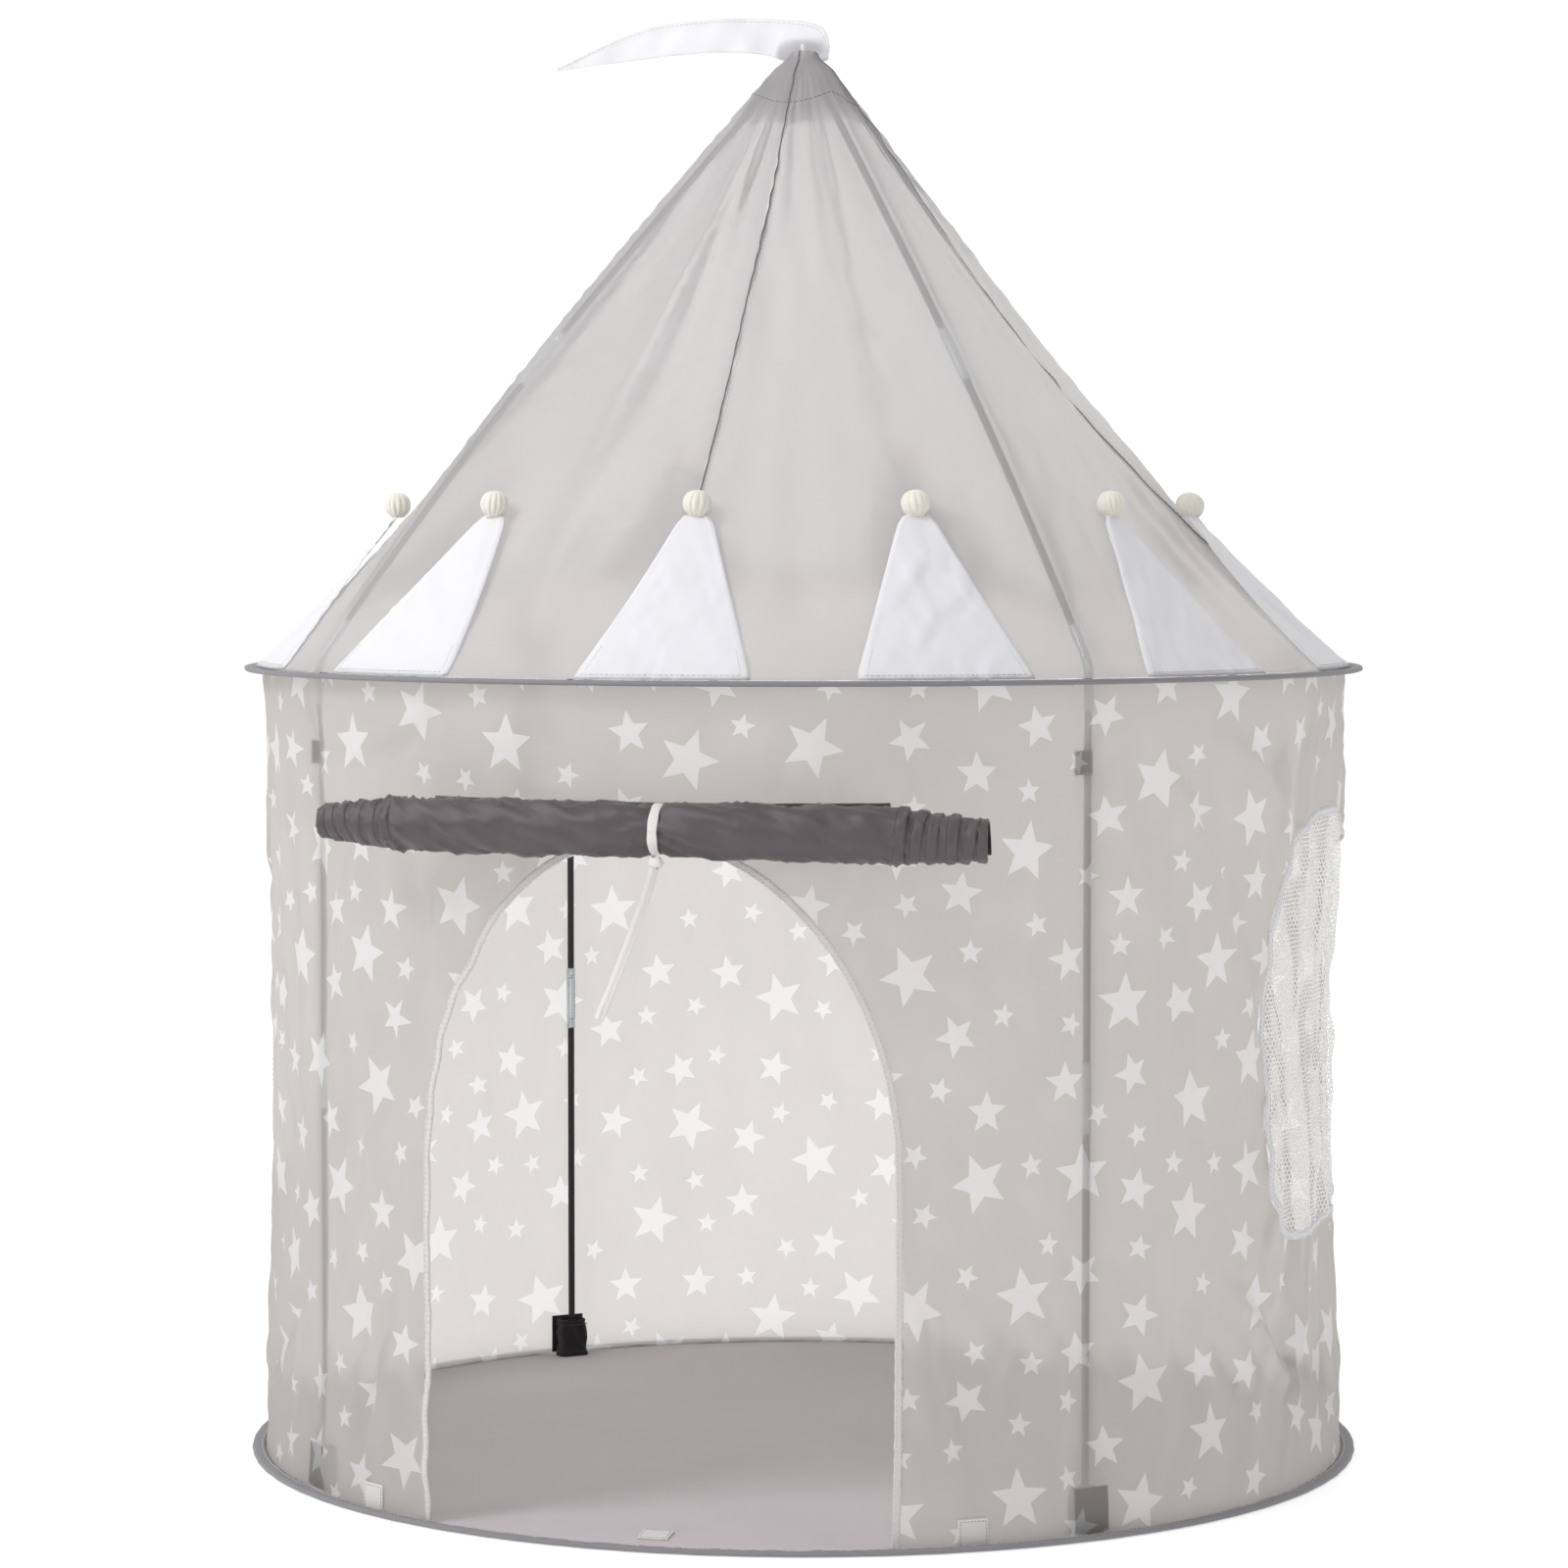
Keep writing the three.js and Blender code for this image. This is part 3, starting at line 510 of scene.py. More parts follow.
def window_sag(phi, z):
    """The net and the cloth round it hang slack: the window's middle draws in, and its edges wave."""
    shift = 0
    for centre in (QUARTER, -QUARTER):
        s = (phi - centre) * FLAT_RADIUS / (WINDOW_HALF * 1.25)
        t = (z - (WINDOW_LOW + WINDOW_HIGH) / 2) / ((WINDOW_HIGH - WINDOW_LOW) * 0.62)
        near = smooth(1.15 - np.sqrt(s * s + t * t))
        shift = shift - near * (5.5 * MM + 3.0 * MM * ripple(phi, z, 0.22, 0.2, 6))
    return shift


def wall_point(phi, z, out=0.0):
    radius = wall_radius(z) + wall_folds(phi, z) + window_sag(phi, z) - drawn_in(phi, z) + out
    return at(phi, radius, z)


def wall_normal(phi):
    return at(phi, 1.0, 0.0)


def straight(share):
    return ROOF_RADIUS + (ROOF_TOP_RADIUS - ROOF_RADIUS) * share


def roof_over_pole(share):
    return straight(share) + POLE_BOW * np.sin(math.pi * np.power(share, POLE_SKEW))


def roof_at_seam(share):
    return straight(share) - SEAM_BOW * np.sin(math.pi * np.power(share, SEAM_SKEW))


def roof_radius(phi, z):
    """The roof's radius up to its shoulder, and over that the blunt top, closed on the pennant's peg."""
    share = np.clip((z - ROOF_LOW) / (ROOF_SHOULDER - ROOF_LOW), 0, 1)
    from_seam = np.abs(phi - np.round(phi / QUARTER) * QUARTER)
    square = math.cos(QUARTER / 2) / np.cos(from_seam)
    pole = roof_over_pole(share)
    pinch = (1 - roof_at_seam(share) / pole) / (1 - math.cos(QUARTER / 2))
    pole = pole * (1 - 0.25 * smooth((z - ROOF_SHOULDER + 14 * MM) / (14 * MM)))
    shut = np.clip((z - ROOF_SHOULDER) / (ROOF_PEAK - ROOF_SHOULDER), 0, 1)
    return (pole * (1 + pinch * (square - 1)) - ROOF_HOLE) * np.sqrt(1 - shut * shut) + ROOF_HOLE


def roof_folds(phi, z):
    """Soft drags in the roof: they run up the slope, fade out on the poles and gather at the eave."""
    share = (z - ROOF_LOW) / (ROOF_SHOULDER - ROOF_LOW)
    radius = ROOF_RADIUS * (1 - np.minimum(share, 1) * 0.92)
    from_pole = np.abs(((phi / QUARTER) % 1) - 0.5) * 2
    slack = smooth(from_pole * 1.6) * smooth(share * 9) * smooth((1 - share) * 5)
    shift = slack * 2.6 * MM * ripple(phi, share, 0.55, 0.8, 11)
    shift = shift + slack * 1.9 * MM * ripple(phi + 0.25 * share, share, 0.2, 0.6, 12)
    drag = smooth(share * 12) * smooth((1 - share) * 12)
    shift = shift + 0.7 * MM * ripple(phi * radius, z, 0.06, 0.13, 13) * drag
    shift = shift + 0.35 * MM * ripple(phi * radius + 0.8 * z, z, 0.03, 0.16, 15) * drag
    return shift + 0.7 * MM * ripple(phi * radius, z, 0.022, 0.1, 14) * np.exp(-(z - ROOF_LOW) / 0.025)


def roof_point(phi, z, out=0.0):
    return at(phi, roof_radius(phi, z) + roof_folds(phi, z) + out, z)


# ---- Printed wall ----------------------------------------------------------------------------------

STAR_WAIST = 0.44  # a star's inner radius, as a share of its outer one
STAR_REACH = 32 * MM  # nothing farther than this from a star's middle can touch it
STAR_SIZES = [(26 * MM, 88 * MM, 900), (18.5 * MM, 60 * MM, 2600), (11 * MM, 44 * MM, 6000)]
CLOTH_LENGTH = 2 * math.pi * FLAT_RADIUS


def star_outline(s, z, radius, turn):
    angles = turn + np.arange(10) * math.pi / 5
    reach = np.where(np.arange(10) % 2, radius * STAR_WAIST, radius)
    return np.stack([s + reach * np.sin(angles), z + reach * np.cos(angles)], -1)


def scatter_stars():
    """Stars of three sizes thrown over the cloth, each kept clear of those before it."""
    draw = random.Random(23)
    stars = []
    for radius, apart, throws in STAR_SIZES:
        for _ in range(throws):
            s = draw.uniform(-CLOTH_LENGTH / 2, CLOTH_LENGTH / 2)
            z = draw.uniform(WALL_LOW - 10 * MM, WALL_HIGH + 10 * MM)
            turn = draw.uniform(-0.5, 0.5) if draw.random() < 0.6 else draw.uniform(0, 1.3)
            clear = True
            for other_s, other_z, other_radius, _ in stars:
                ds = abs(s - other_s)
                ds = min(ds, CLOTH_LENGTH - ds)
                least = apart if other_radius == radius else (radius + other_radius) * 0.98 + 10 * MM
                if ds * ds + (z - other_z) ** 2 < least * least:
                    clear = False
                    break
            if clear:
                stars.append((s, z, radius, turn))
    return stars


def inside(points, outline):
    """Which points lie inside a closed outline."""
    x, y = points[:, 0], points[:, 1]
    hit = np.zeros(len(points), bool)
    for (ax, ay), (bx, by) in zip(outline, np.roll(outline, -1, 0)):
        if ay == by:
            continue
        crossing = ((ay > y) != (by > y)) & (x < (bx - ax) * (y - ay) / (by - ay) + ax)
        hit ^= crossing
    return hit


def edge_distance(points, outline):
    """How far each point lies from a closed outline."""
    nearest = np.full(len(points), np.inf)
    for a, b in zip(outline, np.roll(outline, -1, 0)):
        along = b - a
        t = np.clip(((points - a) @ along) / max(along @ along, 1e-12), 0, 1)
        nearest = np.minimum(nearest, np.linalg.norm(points - a - t[:, None] * along, axis=1))
    return nearest


def arc_points(cx, cz, rx, rz, a, b, count):
    return [(cx + rx * math.cos(t), cz + rz * math.sin(t)) for t in np.linspace(a, b, count)]


def flat_outline(half_outline):
    """Doorway and window outlines are drawn level with the chord, and wrap round the wall from there."""
    chord = np.asarray(half_outline, float)
    reach = wall_radius(chord[:, 1])
    return np.stack([np.arcsin(np.clip(chord[:, 0] / reach, -1, 1)) * FLAT_RADIUS, chord[:, 1]], -1)


def door_outline(inset=0.0):
    """From the doorway's foot on the left, up over the arch and down to its foot on the right."""
    half, rise = DOOR_HALF - inset, DOOR_RISE - inset
    spring = DOOR_TOP - DOOR_RISE
    left = [(-half, z) for z in np.linspace(WALL_LOW, spring, 24, endpoint=False)]
    arch = arc_points(0, spring, half, rise, math.pi, 0, 40)
    right = [(half, z) for z in np.linspace(spring, WALL_LOW, 25)[1:]]
    return flat_outline(left + arch + right)


def window_outline(inset=0.0):
    half = WINDOW_HALF - inset
    low, high = WINDOW_LOW + inset, WINDOW_HIGH - inset
    big, small = WINDOW_TOP_CORNER - inset, WINDOW_LOW_CORNER - inset
    sill = [(x, low) for x in np.linspace(-half + small, half - small, 22, endpoint=False)]
    right = [(half, z) for z in np.linspace(low + small, high - big, 18)[1:-1]]
    head = [(x, high) for x in np.linspace(half - big, -half + big, 8)[1:-1]]
    left = [(-half, z) for z in np.linspace(high - big, low + small, 18)[1:-1]]
    corners = [
        arc_points(half - small, low + small, small, small, -QUARTER, 0, 9),
        arc_points(half - big, high - big, big, big, 0, QUARTER, 16),
        arc_points(-half + big, high - big, big, big, QUARTER, 2 * QUARTER, 16),
        arc_points(-half + small, low + small, small, small, 2 * QUARTER, 3 * QUARTER, 9)[:-1],
    ]
    chord = np.array(sill + corners[0] + right + corners[1] + head + corners[2] + left + corners[3])
    middle = np.array([0, (WINDOW_LOW + WINDOW_HIGH) / 2])
    around = np.arctan2(*(chord - middle).T) / math.pi
    wave = 1 + 0.010 * ripple(np.cos(around * math.pi), np.sin(around * math.pi), 0.7, 0.6, 32)
    return flat_outline(middle + (chord - middle) * wave[:, None])


WALL_PITCH = 8.5 * MM  # between the points of a wall panel


def wall_panel(name, centre, stars, hole=None):
    """One quarter of the wall, cut flat with its stars and its opening, and then hung in its folds."""
    half = FLAT_RADIUS * QUARTER / 2
    middle = centre * FLAT_RADIUS
    columns, rows = round(2 * half / WALL_PITCH), round((WALL_HIGH - WALL_LOW) / WALL_PITCH)
    ss, zs = np.linspace(-half, half, columns + 1), np.linspace(WALL_LOW, WALL_HIGH, rows + 1)
    border = [(s, WALL_LOW) for s in ss] + [(half, z) for z in zs[1:]]
    border += [(s, WALL_HIGH) for s in ss[-2::-1]] + [(-half, z) for z in zs[-2:0:-1]]
    grid_s, grid_z = np.meshgrid(ss[1:-1], zs[1:-1])
    grid_s = grid_s + (np.arange(len(zs) - 2) % 2)[:, None] * (ss[1] - ss[0]) * 0.5
    free = np.stack([grid_s.ravel(), grid_z.ravel()], -1)
    free = free[free[:, 0] < half - WALL_PITCH * 0.4]

    outlines = []
    for s, z, radius, turn in stars:
        ds = (s - middle + CLOTH_LENGTH / 2) % CLOTH_LENGTH - CLOTH_LENGTH / 2
        if abs(ds) < half + radius:
            outlines.append(star_outline(ds, z, radius, turn))
    if hole is not None:
        near = edge_distance(free, hole) < 3 * MM
        free = free[~near & ~inside(free, hole)]
        outlines = [o for o in outlines if not inside(o, hole).all()]
    for outline in outlines:
        close = np.abs(free - outline.mean(0)).max(1) < STAR_REACH
        near = np.zeros(len(free), bool)
        near[close] = edge_distance(free[close], outline) < 2.6 * MM
        free = free[~near]

    points, edges = [Vector(p) for p in border], []
    edges += [(i, (i + 1) % len(border)) for i in range(len(border))]
    for outline in outlines + ([hole] if hole is not None else []):
        first = len(points)
        points += [Vector(p) for p in outline]
        edges += [(first + i, first + (i + 1) % len(outline)) for i in range(len(outline))]
    points += [Vector(p) for p in free]
    flat, _, faces, *_ = delaunay_2d_cdt(points, edges, [], 0, 1e-6)
    flat = np.array([tuple(p) for p in flat])
    faces = np.array([tuple(f) for f in faces])
    middles = flat[faces].mean(1)
    keep = (np.abs(middles[:, 0]) < half) & (middles[:, 1] > WALL_LOW) & (middles[:, 1] < WALL_HIGH)
    if hole is not None:
        keep &= ~inside(middles, hole)
    faces, middles = faces[keep], middles[keep]
    starry = np.zeros(len(faces), bool)
    for outline in outlines:
        close = np.abs(middles - outline.mean(0)).max(1) < STAR_REACH
        starry[close] |= inside(middles[close], outline)

    used = np.unique(faces)
    index = np.full(len(flat), -1)
    index[used] = np.arange(len(used))
    flat, faces = flat[used], index[faces]
    phi = centre + flat[:, 0] / FLAT_RADIUS
    points = wall_point(phi, flat[:, 1])
    obj = piece(name + "_cloth", points, faces, [WALL, STAR], "tent", name,
                uv=flat + [middle, 0], kinds=starry.astype(int))


def densify(outline, step, closed):
    """The same outline with points a step apart."""
    outline = np.asarray(outline, float)
    if closed:
        outline = closed_up(outline)
    run = run_along(outline)
    where = np.linspace(0, run[-1], max(3, round(run[-1] / step)) + 1)
    made = read_off(where, run, outline)
    return made[:-1] if closed else made


TAPE_STEP, TAPE_OUT = 2.5 * MM, 0.6 * MM


def tape_along(name, outline, centre, width, thick, material, replaces, closed=False):
    """A sewn tape that follows an outline on the wall, with little puckers, and its two rows of stitches."""
    flat = densify(outline, TAPE_STEP, closed)
    phi, z = centre + flat[:, 0] / FLAT_RADIUS, flat[:, 1]
    run = np.arange(len(flat)) * TAPE_STEP
    path = wall_point(phi, z, TAPE_OUT)
    up = wall_normal(phi)
    section = ribbon_section(width, thick)
    pucker = 1 + 0.06 * ripple(run, 0, 0.014, 1, 31)
    points, faces = swept(path, up, scaled(section, pucker, 1 + 0.25 * (pucker - 1)), closed)
    piece(name, points, faces, material, "tent", replaces, swept_uv(path, len(section)))
    side, _ = frames_along(path, up, closed)
    for tag, share in (("outer", 0.3), ("inner", -0.3)):
        line = path + side * width * share + up * thick / 2
        stitches(f"{name}_{tag}_stitches", line, up, THREAD, "tent")


def make_wall():
    stars = scatter_stars()
    door, window = door_outline(), window_outline()
    wall_panel("wall_front", 0.0, stars, door)
    wall_panel("wall_right", QUARTER, stars, window)
    wall_panel("wall_back", 2 * QUARTER, stars)
    wall_panel("wall_left", -QUARTER, stars, window)
    middle = door_outline(3.2 * MM)
    tape_along("door_binding_tape", middle, 0.0, 6.6 * MM, 1.8 * MM, TRIM, "door_binding")
    for side, centre in (("right", QUARTER), ("left", -QUARTER)):
        middle = window_outline(3.5 * MM)
        tape_along(f"window_binding_{side}_tape", middle, centre, 7.5 * MM, 1.5 * MM, WHITE,
                   f"window_binding_{side}", closed=True)
        window_net(side, centre)


NET_CELL = 4.3 * MM
NET_STRAND = 0.34  # a strand's share of a cell


def window_net(side, centre):
    """A knitted net of six-sided cells, each a ring of flat strands that it shares with its neighbours."""
    outline = window_outline(4 * MM)
    low, high = outline.min(0), outline.max(0)
    across, up = NET_CELL, NET_CELL * math.sqrt(3) / 2
    centres = []
    for j in range(int((high[1] - low[1]) / up) + 2):
        shift = across / 2 if j % 2 else 0
        for i in range(int((high[0] - low[0]) / across) + 2):
            centres.append((low[0] + i * across + shift, low[1] + j * up))
    centres = np.array(centres)
    centres = centres[inside(centres, outline)]
    angles = 30 * DEG + np.arange(6) * 60 * DEG
    corner = np.stack([np.cos(angles), np.sin(angles)], -1)
    reach = NET_CELL / math.sqrt(3)
    outer = centres[:, None] + corner * reach
    inner = centres[:, None] + corner * reach * (1 - NET_STRAND)
    keys = {}
    flat, faces = [], []

    def shared(point):
        key = (round(point[0] * 1e5), round(point[1] * 1e5))
        for near in ((0, 0), (1, 0), (-1, 0), (0, 1), (0, -1)):
            found = keys.get((key[0] + near[0], key[1] + near[1]))
            if found is not None:
                return found
        keys[key] = len(flat)
        flat.append(point)
        return keys[key]

    for ring, hole in zip(outer, inner):
        rim = [shared(tuple(p)) for p in ring]
        first = len(flat)
        flat.extend(tuple(p) for p in hole)
        for k in range(6):
            faces.append((rim[k], rim[(k + 1) % 6], first + (k + 1) % 6, first + k))
    flat = np.array(flat)
    phi = centre + flat[:, 0] / FLAT_RADIUS
    folds = 1.6 * MM * ripple(flat[:, 0], flat[:, 1], 0.05, 0.5, 41)
    points = wall_point(phi, flat[:, 1], folds - 0.5 * MM)
    obj = piece(f"window_net_{side}_mesh", points, faces, NET, "tent", f"window_net_{side}",
                uv=flat)


# ---- Roof ------------------------------------------------------------------------------------------


SEAM_LOW = ROOF_LOW + 4 * MM
GORES = {"roof_front_right": 0, "roof_back_right": QUARTER, "roof_back_left": 2 * QUARTER,
         "roof_front_left": 3 * QUARTER}
SEAMS = {"front": 0.0, "right": QUARTER, "back": 2 * QUARTER, "left": 3 * QUARTER}
LINING_SEWN = 20 * MM  # how far above the lining's hem its stitches run
OUT_OF_ROOF = (0.75, 0.66)  # how far straight out of the roof's slope goes outwards and upwards


def roof_gore(name, first):
    columns, rows = 84, 104
    u = np.linspace(0.0008, 1 - 0.0008, columns + 1)
    top = ROOF_SHOULDER + (ROOF_PEAK - ROOF_SHOULDER) * np.sin(np.linspace(0, QUARTER, 9)[1:])
    z = np.concatenate([np.linspace(ROOF_LOW, ROOF_SHOULDER, rows - 7), top])
    phi, z = np.meshgrid(first + u * QUARTER, z)
    points = roof_point(phi, z)
    uv = np.stack([(phi - first - QUARTER / 2) * roof_radius(phi, z), z * 1.35], -1)
    faces = grid_faces(rows + 1, columns + 1)
    obj = piece(name + "_cloth", points, faces, ROOF, "tent", name, uv=uv)


def roof_seam(tag, phi):
    """The rolled seam between two gores: a fine cord outside, a row of stitches, and its allowance inside.
    The cord's and the allowance's dark grey is painted shade, for the doubled cloth against the light and the
    shadow along the seam.
    """
    z = np.linspace(SEAM_LOW, ROOF_PEAK - 1 * MM, 260)
    around = np.full_like(z, phi)
    path = roof_point(around, z, 0.1 * MM)
    sideways = at(phi + QUARTER, 1.0, 0.0)
    path = path + sideways * (0.25 * MM * ripple(z, 0, 0.03, 1, 51))[:, None]
    up = at(phi, *OUT_OF_ROOF)
    tube(f"roof_seam_{tag}", path, 0.65 * MM, SEAM_SHADE, "tent", sides=8, up=up)
    inner = path - up * 0.6 * MM
    sway = (0.8 * MM * ripple(z, 0, 0.05, 1, 52))[:, None] * sideways
    rows = [inner, inner - up * 3 * MM + sway * 0.5, inner - up * 6.5 * MM + sway]
    outer = np.stack([row + sideways * 0.35 * MM for row in rows])
    points, faces = thick_sheet(outer, np.stack([row - sideways * 0.35 * MM for row in rows]))
    piece(f"roof_seam_{tag}_allowance", points, faces, SEAM_SHADE, "tent")
    beside = roof_point(around + 4 * MM / np.maximum(roof_radius(phi, z), 0.02), z, 0.3 * MM)
    stitches(f"roof_seam_{tag}_stitches", beside, up, THREAD, "tent", thick=0.28 * MM)


def roof_lining():
    """The second layer of cloth under the roof's point. Its hem dips between the poles, and the row of
    stitches that holds it to the roof runs a little above the hem."""
    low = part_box("apex_cap")[0].z
    columns, rows = 144, 26
    phi = np.linspace(0, 4 * QUARTER, columns, endpoint=False)
    hem = low + 10 * MM * (1 - np.abs(np.cos(2 * phi)))
    v = np.linspace(0, 1, rows)[:, None]
    z = hem + v * (ROOF_SHOULDER - 4 * MM - hem)
    around = np.broadcast_to(phi, z.shape)
    inset = 3 * MM + 11 * MM * (1 - v) ** 2
    points = roof_point(around, z, -inset)
    faces = grid_faces(rows, columns, wrap_columns=True)
    uv = np.stack([around * 0.05, z], -1)
    obj = piece("apex_lining", points, faces, LINING, "tent", "apex_cap", uv=uv)
    path = roof_point(phi, hem + LINING_SEWN, 0.3 * MM)
    stitches("apex_lining_stitches", closed_up(path), closed_up(at(phi, *OUT_OF_ROOF)), DARK_THREAD, "tent",
             thick=0.22 * MM)


def make_roof():
    for name, first in GORES.items():
        roof_gore(name, first)
    for tag, phi in SEAMS.items():
        roof_seam(tag, phi)
    roof_lining()


# ---- Hoops' bindings and the ground sheet ----------------------------------------------------------


GROUND_BINDING, RING_BINDING = 12 * MM, 17 * MM  # how far each tape reaches in from its hoop


def binding(outside, width, node, material, pucker):
    """A hoop's folded tape: round over the wire, flat to its stitched edge, with small puckers."""
    columns = 540
    phi = once_round(columns)
    low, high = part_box(node)[0].z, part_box(node)[1].z
    half, z = (high - low) / 2, (high + low) / 2
    bend = outside - half
    arc = [(bend + half * math.cos(a), half * math.sin(a)) for a in np.linspace(-QUARTER, QUARTER, 9)]
    reach = width - half
    flat = [(bend - reach * 0.3, half * 0.75), (bend - reach * 0.6, half * 0.6), (bend - reach, half * 0.5)]
    section = [(r, -h) for r, h in reversed(flat)] + arc + flat

    def wave(around, inner):
        run = around * outside
        return inner * pucker * (ripple(run, 0, 0.016, 1, 61) + 0.8 * ripple(run, 0, 0.06, 1, 62))

    points = []
    for r, h in section:
        inner = smooth((outside - r - 3 * MM) / (10 * MM))
        points.append(at(phi, r + 0.2 * MM * ripple(phi * outside, 0, 0.05, 1, 63), z + h + wave(phi, inner)))
    points = np.stack(points)
    faces = [tuple(reversed(f)) for f in grid_faces(len(section), columns, wrap_rows=True, wrap_columns=True)]
    run = np.linspace(0, 2 * math.pi * outside, columns)
    uv = np.stack(np.meshgrid(np.linspace(0, 0.04, len(section)), run, indexing="ij"), -1)
    piece(f"{node}_tape", points, faces, material, "tent", node, uv=uv)
    ring = np.linspace(0, 4 * QUARTER, 721)
    line = outside - width * 0.75
    for tag, sign in (("upper", 1), ("lower", -1)):
        if tag == "upper" or low > 0.1:
            height = z + sign * half * 0.68 + wave(ring, 0.9)
            stitches(f"{node}_{tag}_stitches", at(ring, line, height), (0, 0, sign), THREAD, "tent")


PATCH_SLOPE = 0.15  # the floor cloth rises behind the threshold, and its patch of hook tape with it
PATCH_LOW, PATCH_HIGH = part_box("threshold_hook_patch")
PATCH_MIDDLE = (PATCH_LOW + PATCH_HIGH) / 2
PATCH_HALF = 17 * MM  # from the patch's middle to where the rise begins


def make_ground():
    binding(GROUND_RADIUS, GROUND_BINDING, "bottom_binding", FLANGE, 0.25 * MM)
    binding(RING_RADIUS, RING_BINDING, "top_binding", RING, 0.3 * MM)
    columns, rows = 220, 64
    phi = once_round(columns)
    r = (np.linspace(0.004, 1, rows) ** 0.8)[:, None] * (SHEET_RADIUS + 3 * MM)
    x, y = r * np.sin(phi), -r * np.cos(phi)
    dx, dy = x - PATCH_MIDDLE.x, y - PATCH_MIDDLE.y
    slack = smooth((SHEET_RADIUS - r) / 0.05) * smooth((np.hypot(dx, dy) - 0.02) / 0.04)
    broad, small = ripple(x, y, 0.5, 0.4, 71), ripple(x, y, 0.09, 0.11, 72)
    z = SHEET_TOP + 0.5 * MM + slack * (0.9 * MM * (broad + 1.0) * 0.5 + 0.35 * MM * (small + 1.2))
    z = z + slack * 0.9 * MM * np.maximum(0, ripple(x + 0.6 * y, y, 0.35, 0.9, 73)) ** 2
    back = np.maximum(0, dy + PATCH_HALF)
    z = z + PATCH_SLOPE * back * np.exp(-((back / (52 * MM)) ** 4)) * np.exp(-((dx / (34 * MM)) ** 2))
    points = np.stack([x, y, z], -1)
    faces = grid_faces(rows, columns, wrap_columns=True)
    faces.append(tuple(range(columns - 1, -1, -1)))
    faces = [tuple(reversed(f)) for f in faces]
    obj = piece("ground_sheet_cloth", points, faces, FLOOR, "tent", "ground_sheet",
                uv=np.stack([x, y], -1))
    underside(points[-1])


def underside(rim):
    """The ground sheet's lower face, seen from below: flat, with the fold of the binding round it."""
    columns = len(rim)
    rings = [rim * [1, 1, 0] + [0, 0, 0.4 * MM], rim * [0.5, 0.5, 0] + [0, 0, 0.4 * MM]]
    points = np.concatenate([*rings, [[0, 0, 0.4 * MM]]])
    faces = grid_faces(2, columns, wrap_columns=True)
    faces += [(columns + (j + 1) % columns, columns + j, 2 * columns) for j in range(columns)]
    piece("ground_sheet_underside", points, faces, FLOOR, "tent", uv=points[:, :2])


# ---- Camera, light and floor -----------------------------------------------------------------------

CAMERA_AZIMUTH = 15.5 * DEG
CAMERA_DISTANCE = 4.17
CAMERA_HEIGHT = 0.823
CAMERA_LENS = 105.75
CAMERA_DOWN, CAMERA_PAN = 3.10 * DEG, 0.24 * DEG
LIGHT_AWAY, LIGHT_LEVEL = 3.4, 0.6
# Azimuth from the camera's, elevation, size and power.
LIGHTS = {"key": (-58, 38, 1.2, 56), "fill": (-4, 22, 1.6, 15), "back": (165, 40, 3.0, 20)}


def make_stage():
    camera = bpy.data.objects.new("camera", bpy.data.cameras.new("camera"))
    camera.data.lens = CAMERA_LENS
    camera.data.sensor_width = 36
    camera.data.clip_end = 50
    camera.location = at(CAMERA_AZIMUTH, CAMERA_DISTANCE, CAMERA_HEIGHT)
    camera.rotation_euler = (QUARTER - CAMERA_DOWN, 0, CAMERA_AZIMUTH + CAMERA_PAN)
    scene = bpy.context.scene
    scene.collection.objects.link(camera)
    scene.camera = camera
    scene.view_settings.view_transform = "Standard"

    floor_points = [(-30, -30, 0), (30, -30, 0), (30, 30, 0), (-30, 30, 0)]
    mesh = bpy.data.meshes.new("floor")
    mesh.from_pydata(floor_points, [], [(0, 1, 2, 3)])
    floor = bpy.data.objects.new("floor", mesh)
    scene.collection.objects.link(floor)
    nodes = Nodes("floor_pale")
    paint = nodes.add("ShaderNodeBsdfDiffuse", Color=(0.6, 0.6, 0.6, 1)).outputs[0]
    lift = nodes.add("ShaderNodeEmission", Color=(1, 1, 1, 1), Strength=0.56).outputs[0]
    both = nodes.tree.nodes.new("ShaderNodeAddShader")
    nodes.tree.links.new(paint, both.inputs[0])
    nodes.tree.links.new(lift, both.inputs[1])
    mesh.materials.append(nodes.out(both.outputs[0]))
    floor.location.z = -0.6 * MM

    scene.world = studio_world()

    for name, (azimuth, elevation, size, power) in LIGHTS.items():
        light = bpy.data.objects.new(name, bpy.data.lights.new(name, "AREA"))
        light.data.size = size
        light.data.energy = power
        level, height = LIGHT_AWAY * math.cos(elevation * DEG), LIGHT_AWAY * math.sin(elevation * DEG)
        away = at(CAMERA_AZIMUTH + azimuth * DEG, level, LIGHT_LEVEL + height)
        light.location = away
        light.rotation_euler = (Vector((0, 0, 0.7)) - Vector(away)).to_track_quat("-Z", "Y").to_euler()
        scene.collection.objects.link(light)


def studio_world():
    """A white backdrop all round, bright on the tent's far side and dimmer on the doorway's side."""
    world = bpy.data.worlds.new("studio")
    world.use_nodes = True
    nodes = world.node_tree.nodes
    place = nodes.new("ShaderNodeTexCoord")
    turn = nodes.new("ShaderNodeMapping")
    turn.inputs["Rotation"].default_value = (0, 0, -CAMERA_AZIMUTH)
    parts = nodes.new("ShaderNodeSeparateXYZ")
    ramp = nodes.new("ShaderNodeMapRange")
    ramp.interpolation_type = "SMOOTHSTEP"
    for key, value in (("From Min", -0.75), ("From Max", 0.55), ("To Min", 0.42), ("To Max", 1.05)):
        ramp.inputs[key].default_value = value
    link = world.node_tree.links.new
    link(place.outputs["Generated"], turn.inputs["Vector"])
    link(turn.outputs[0], parts.inputs[0])
    link(parts.outputs["Y"], ramp.inputs["Value"])
    link(ramp.outputs[0], nodes["Background"].inputs["Strength"])
    nodes["Background"].inputs["Color"].default_value = (1, 1, 1, 1)
    return world


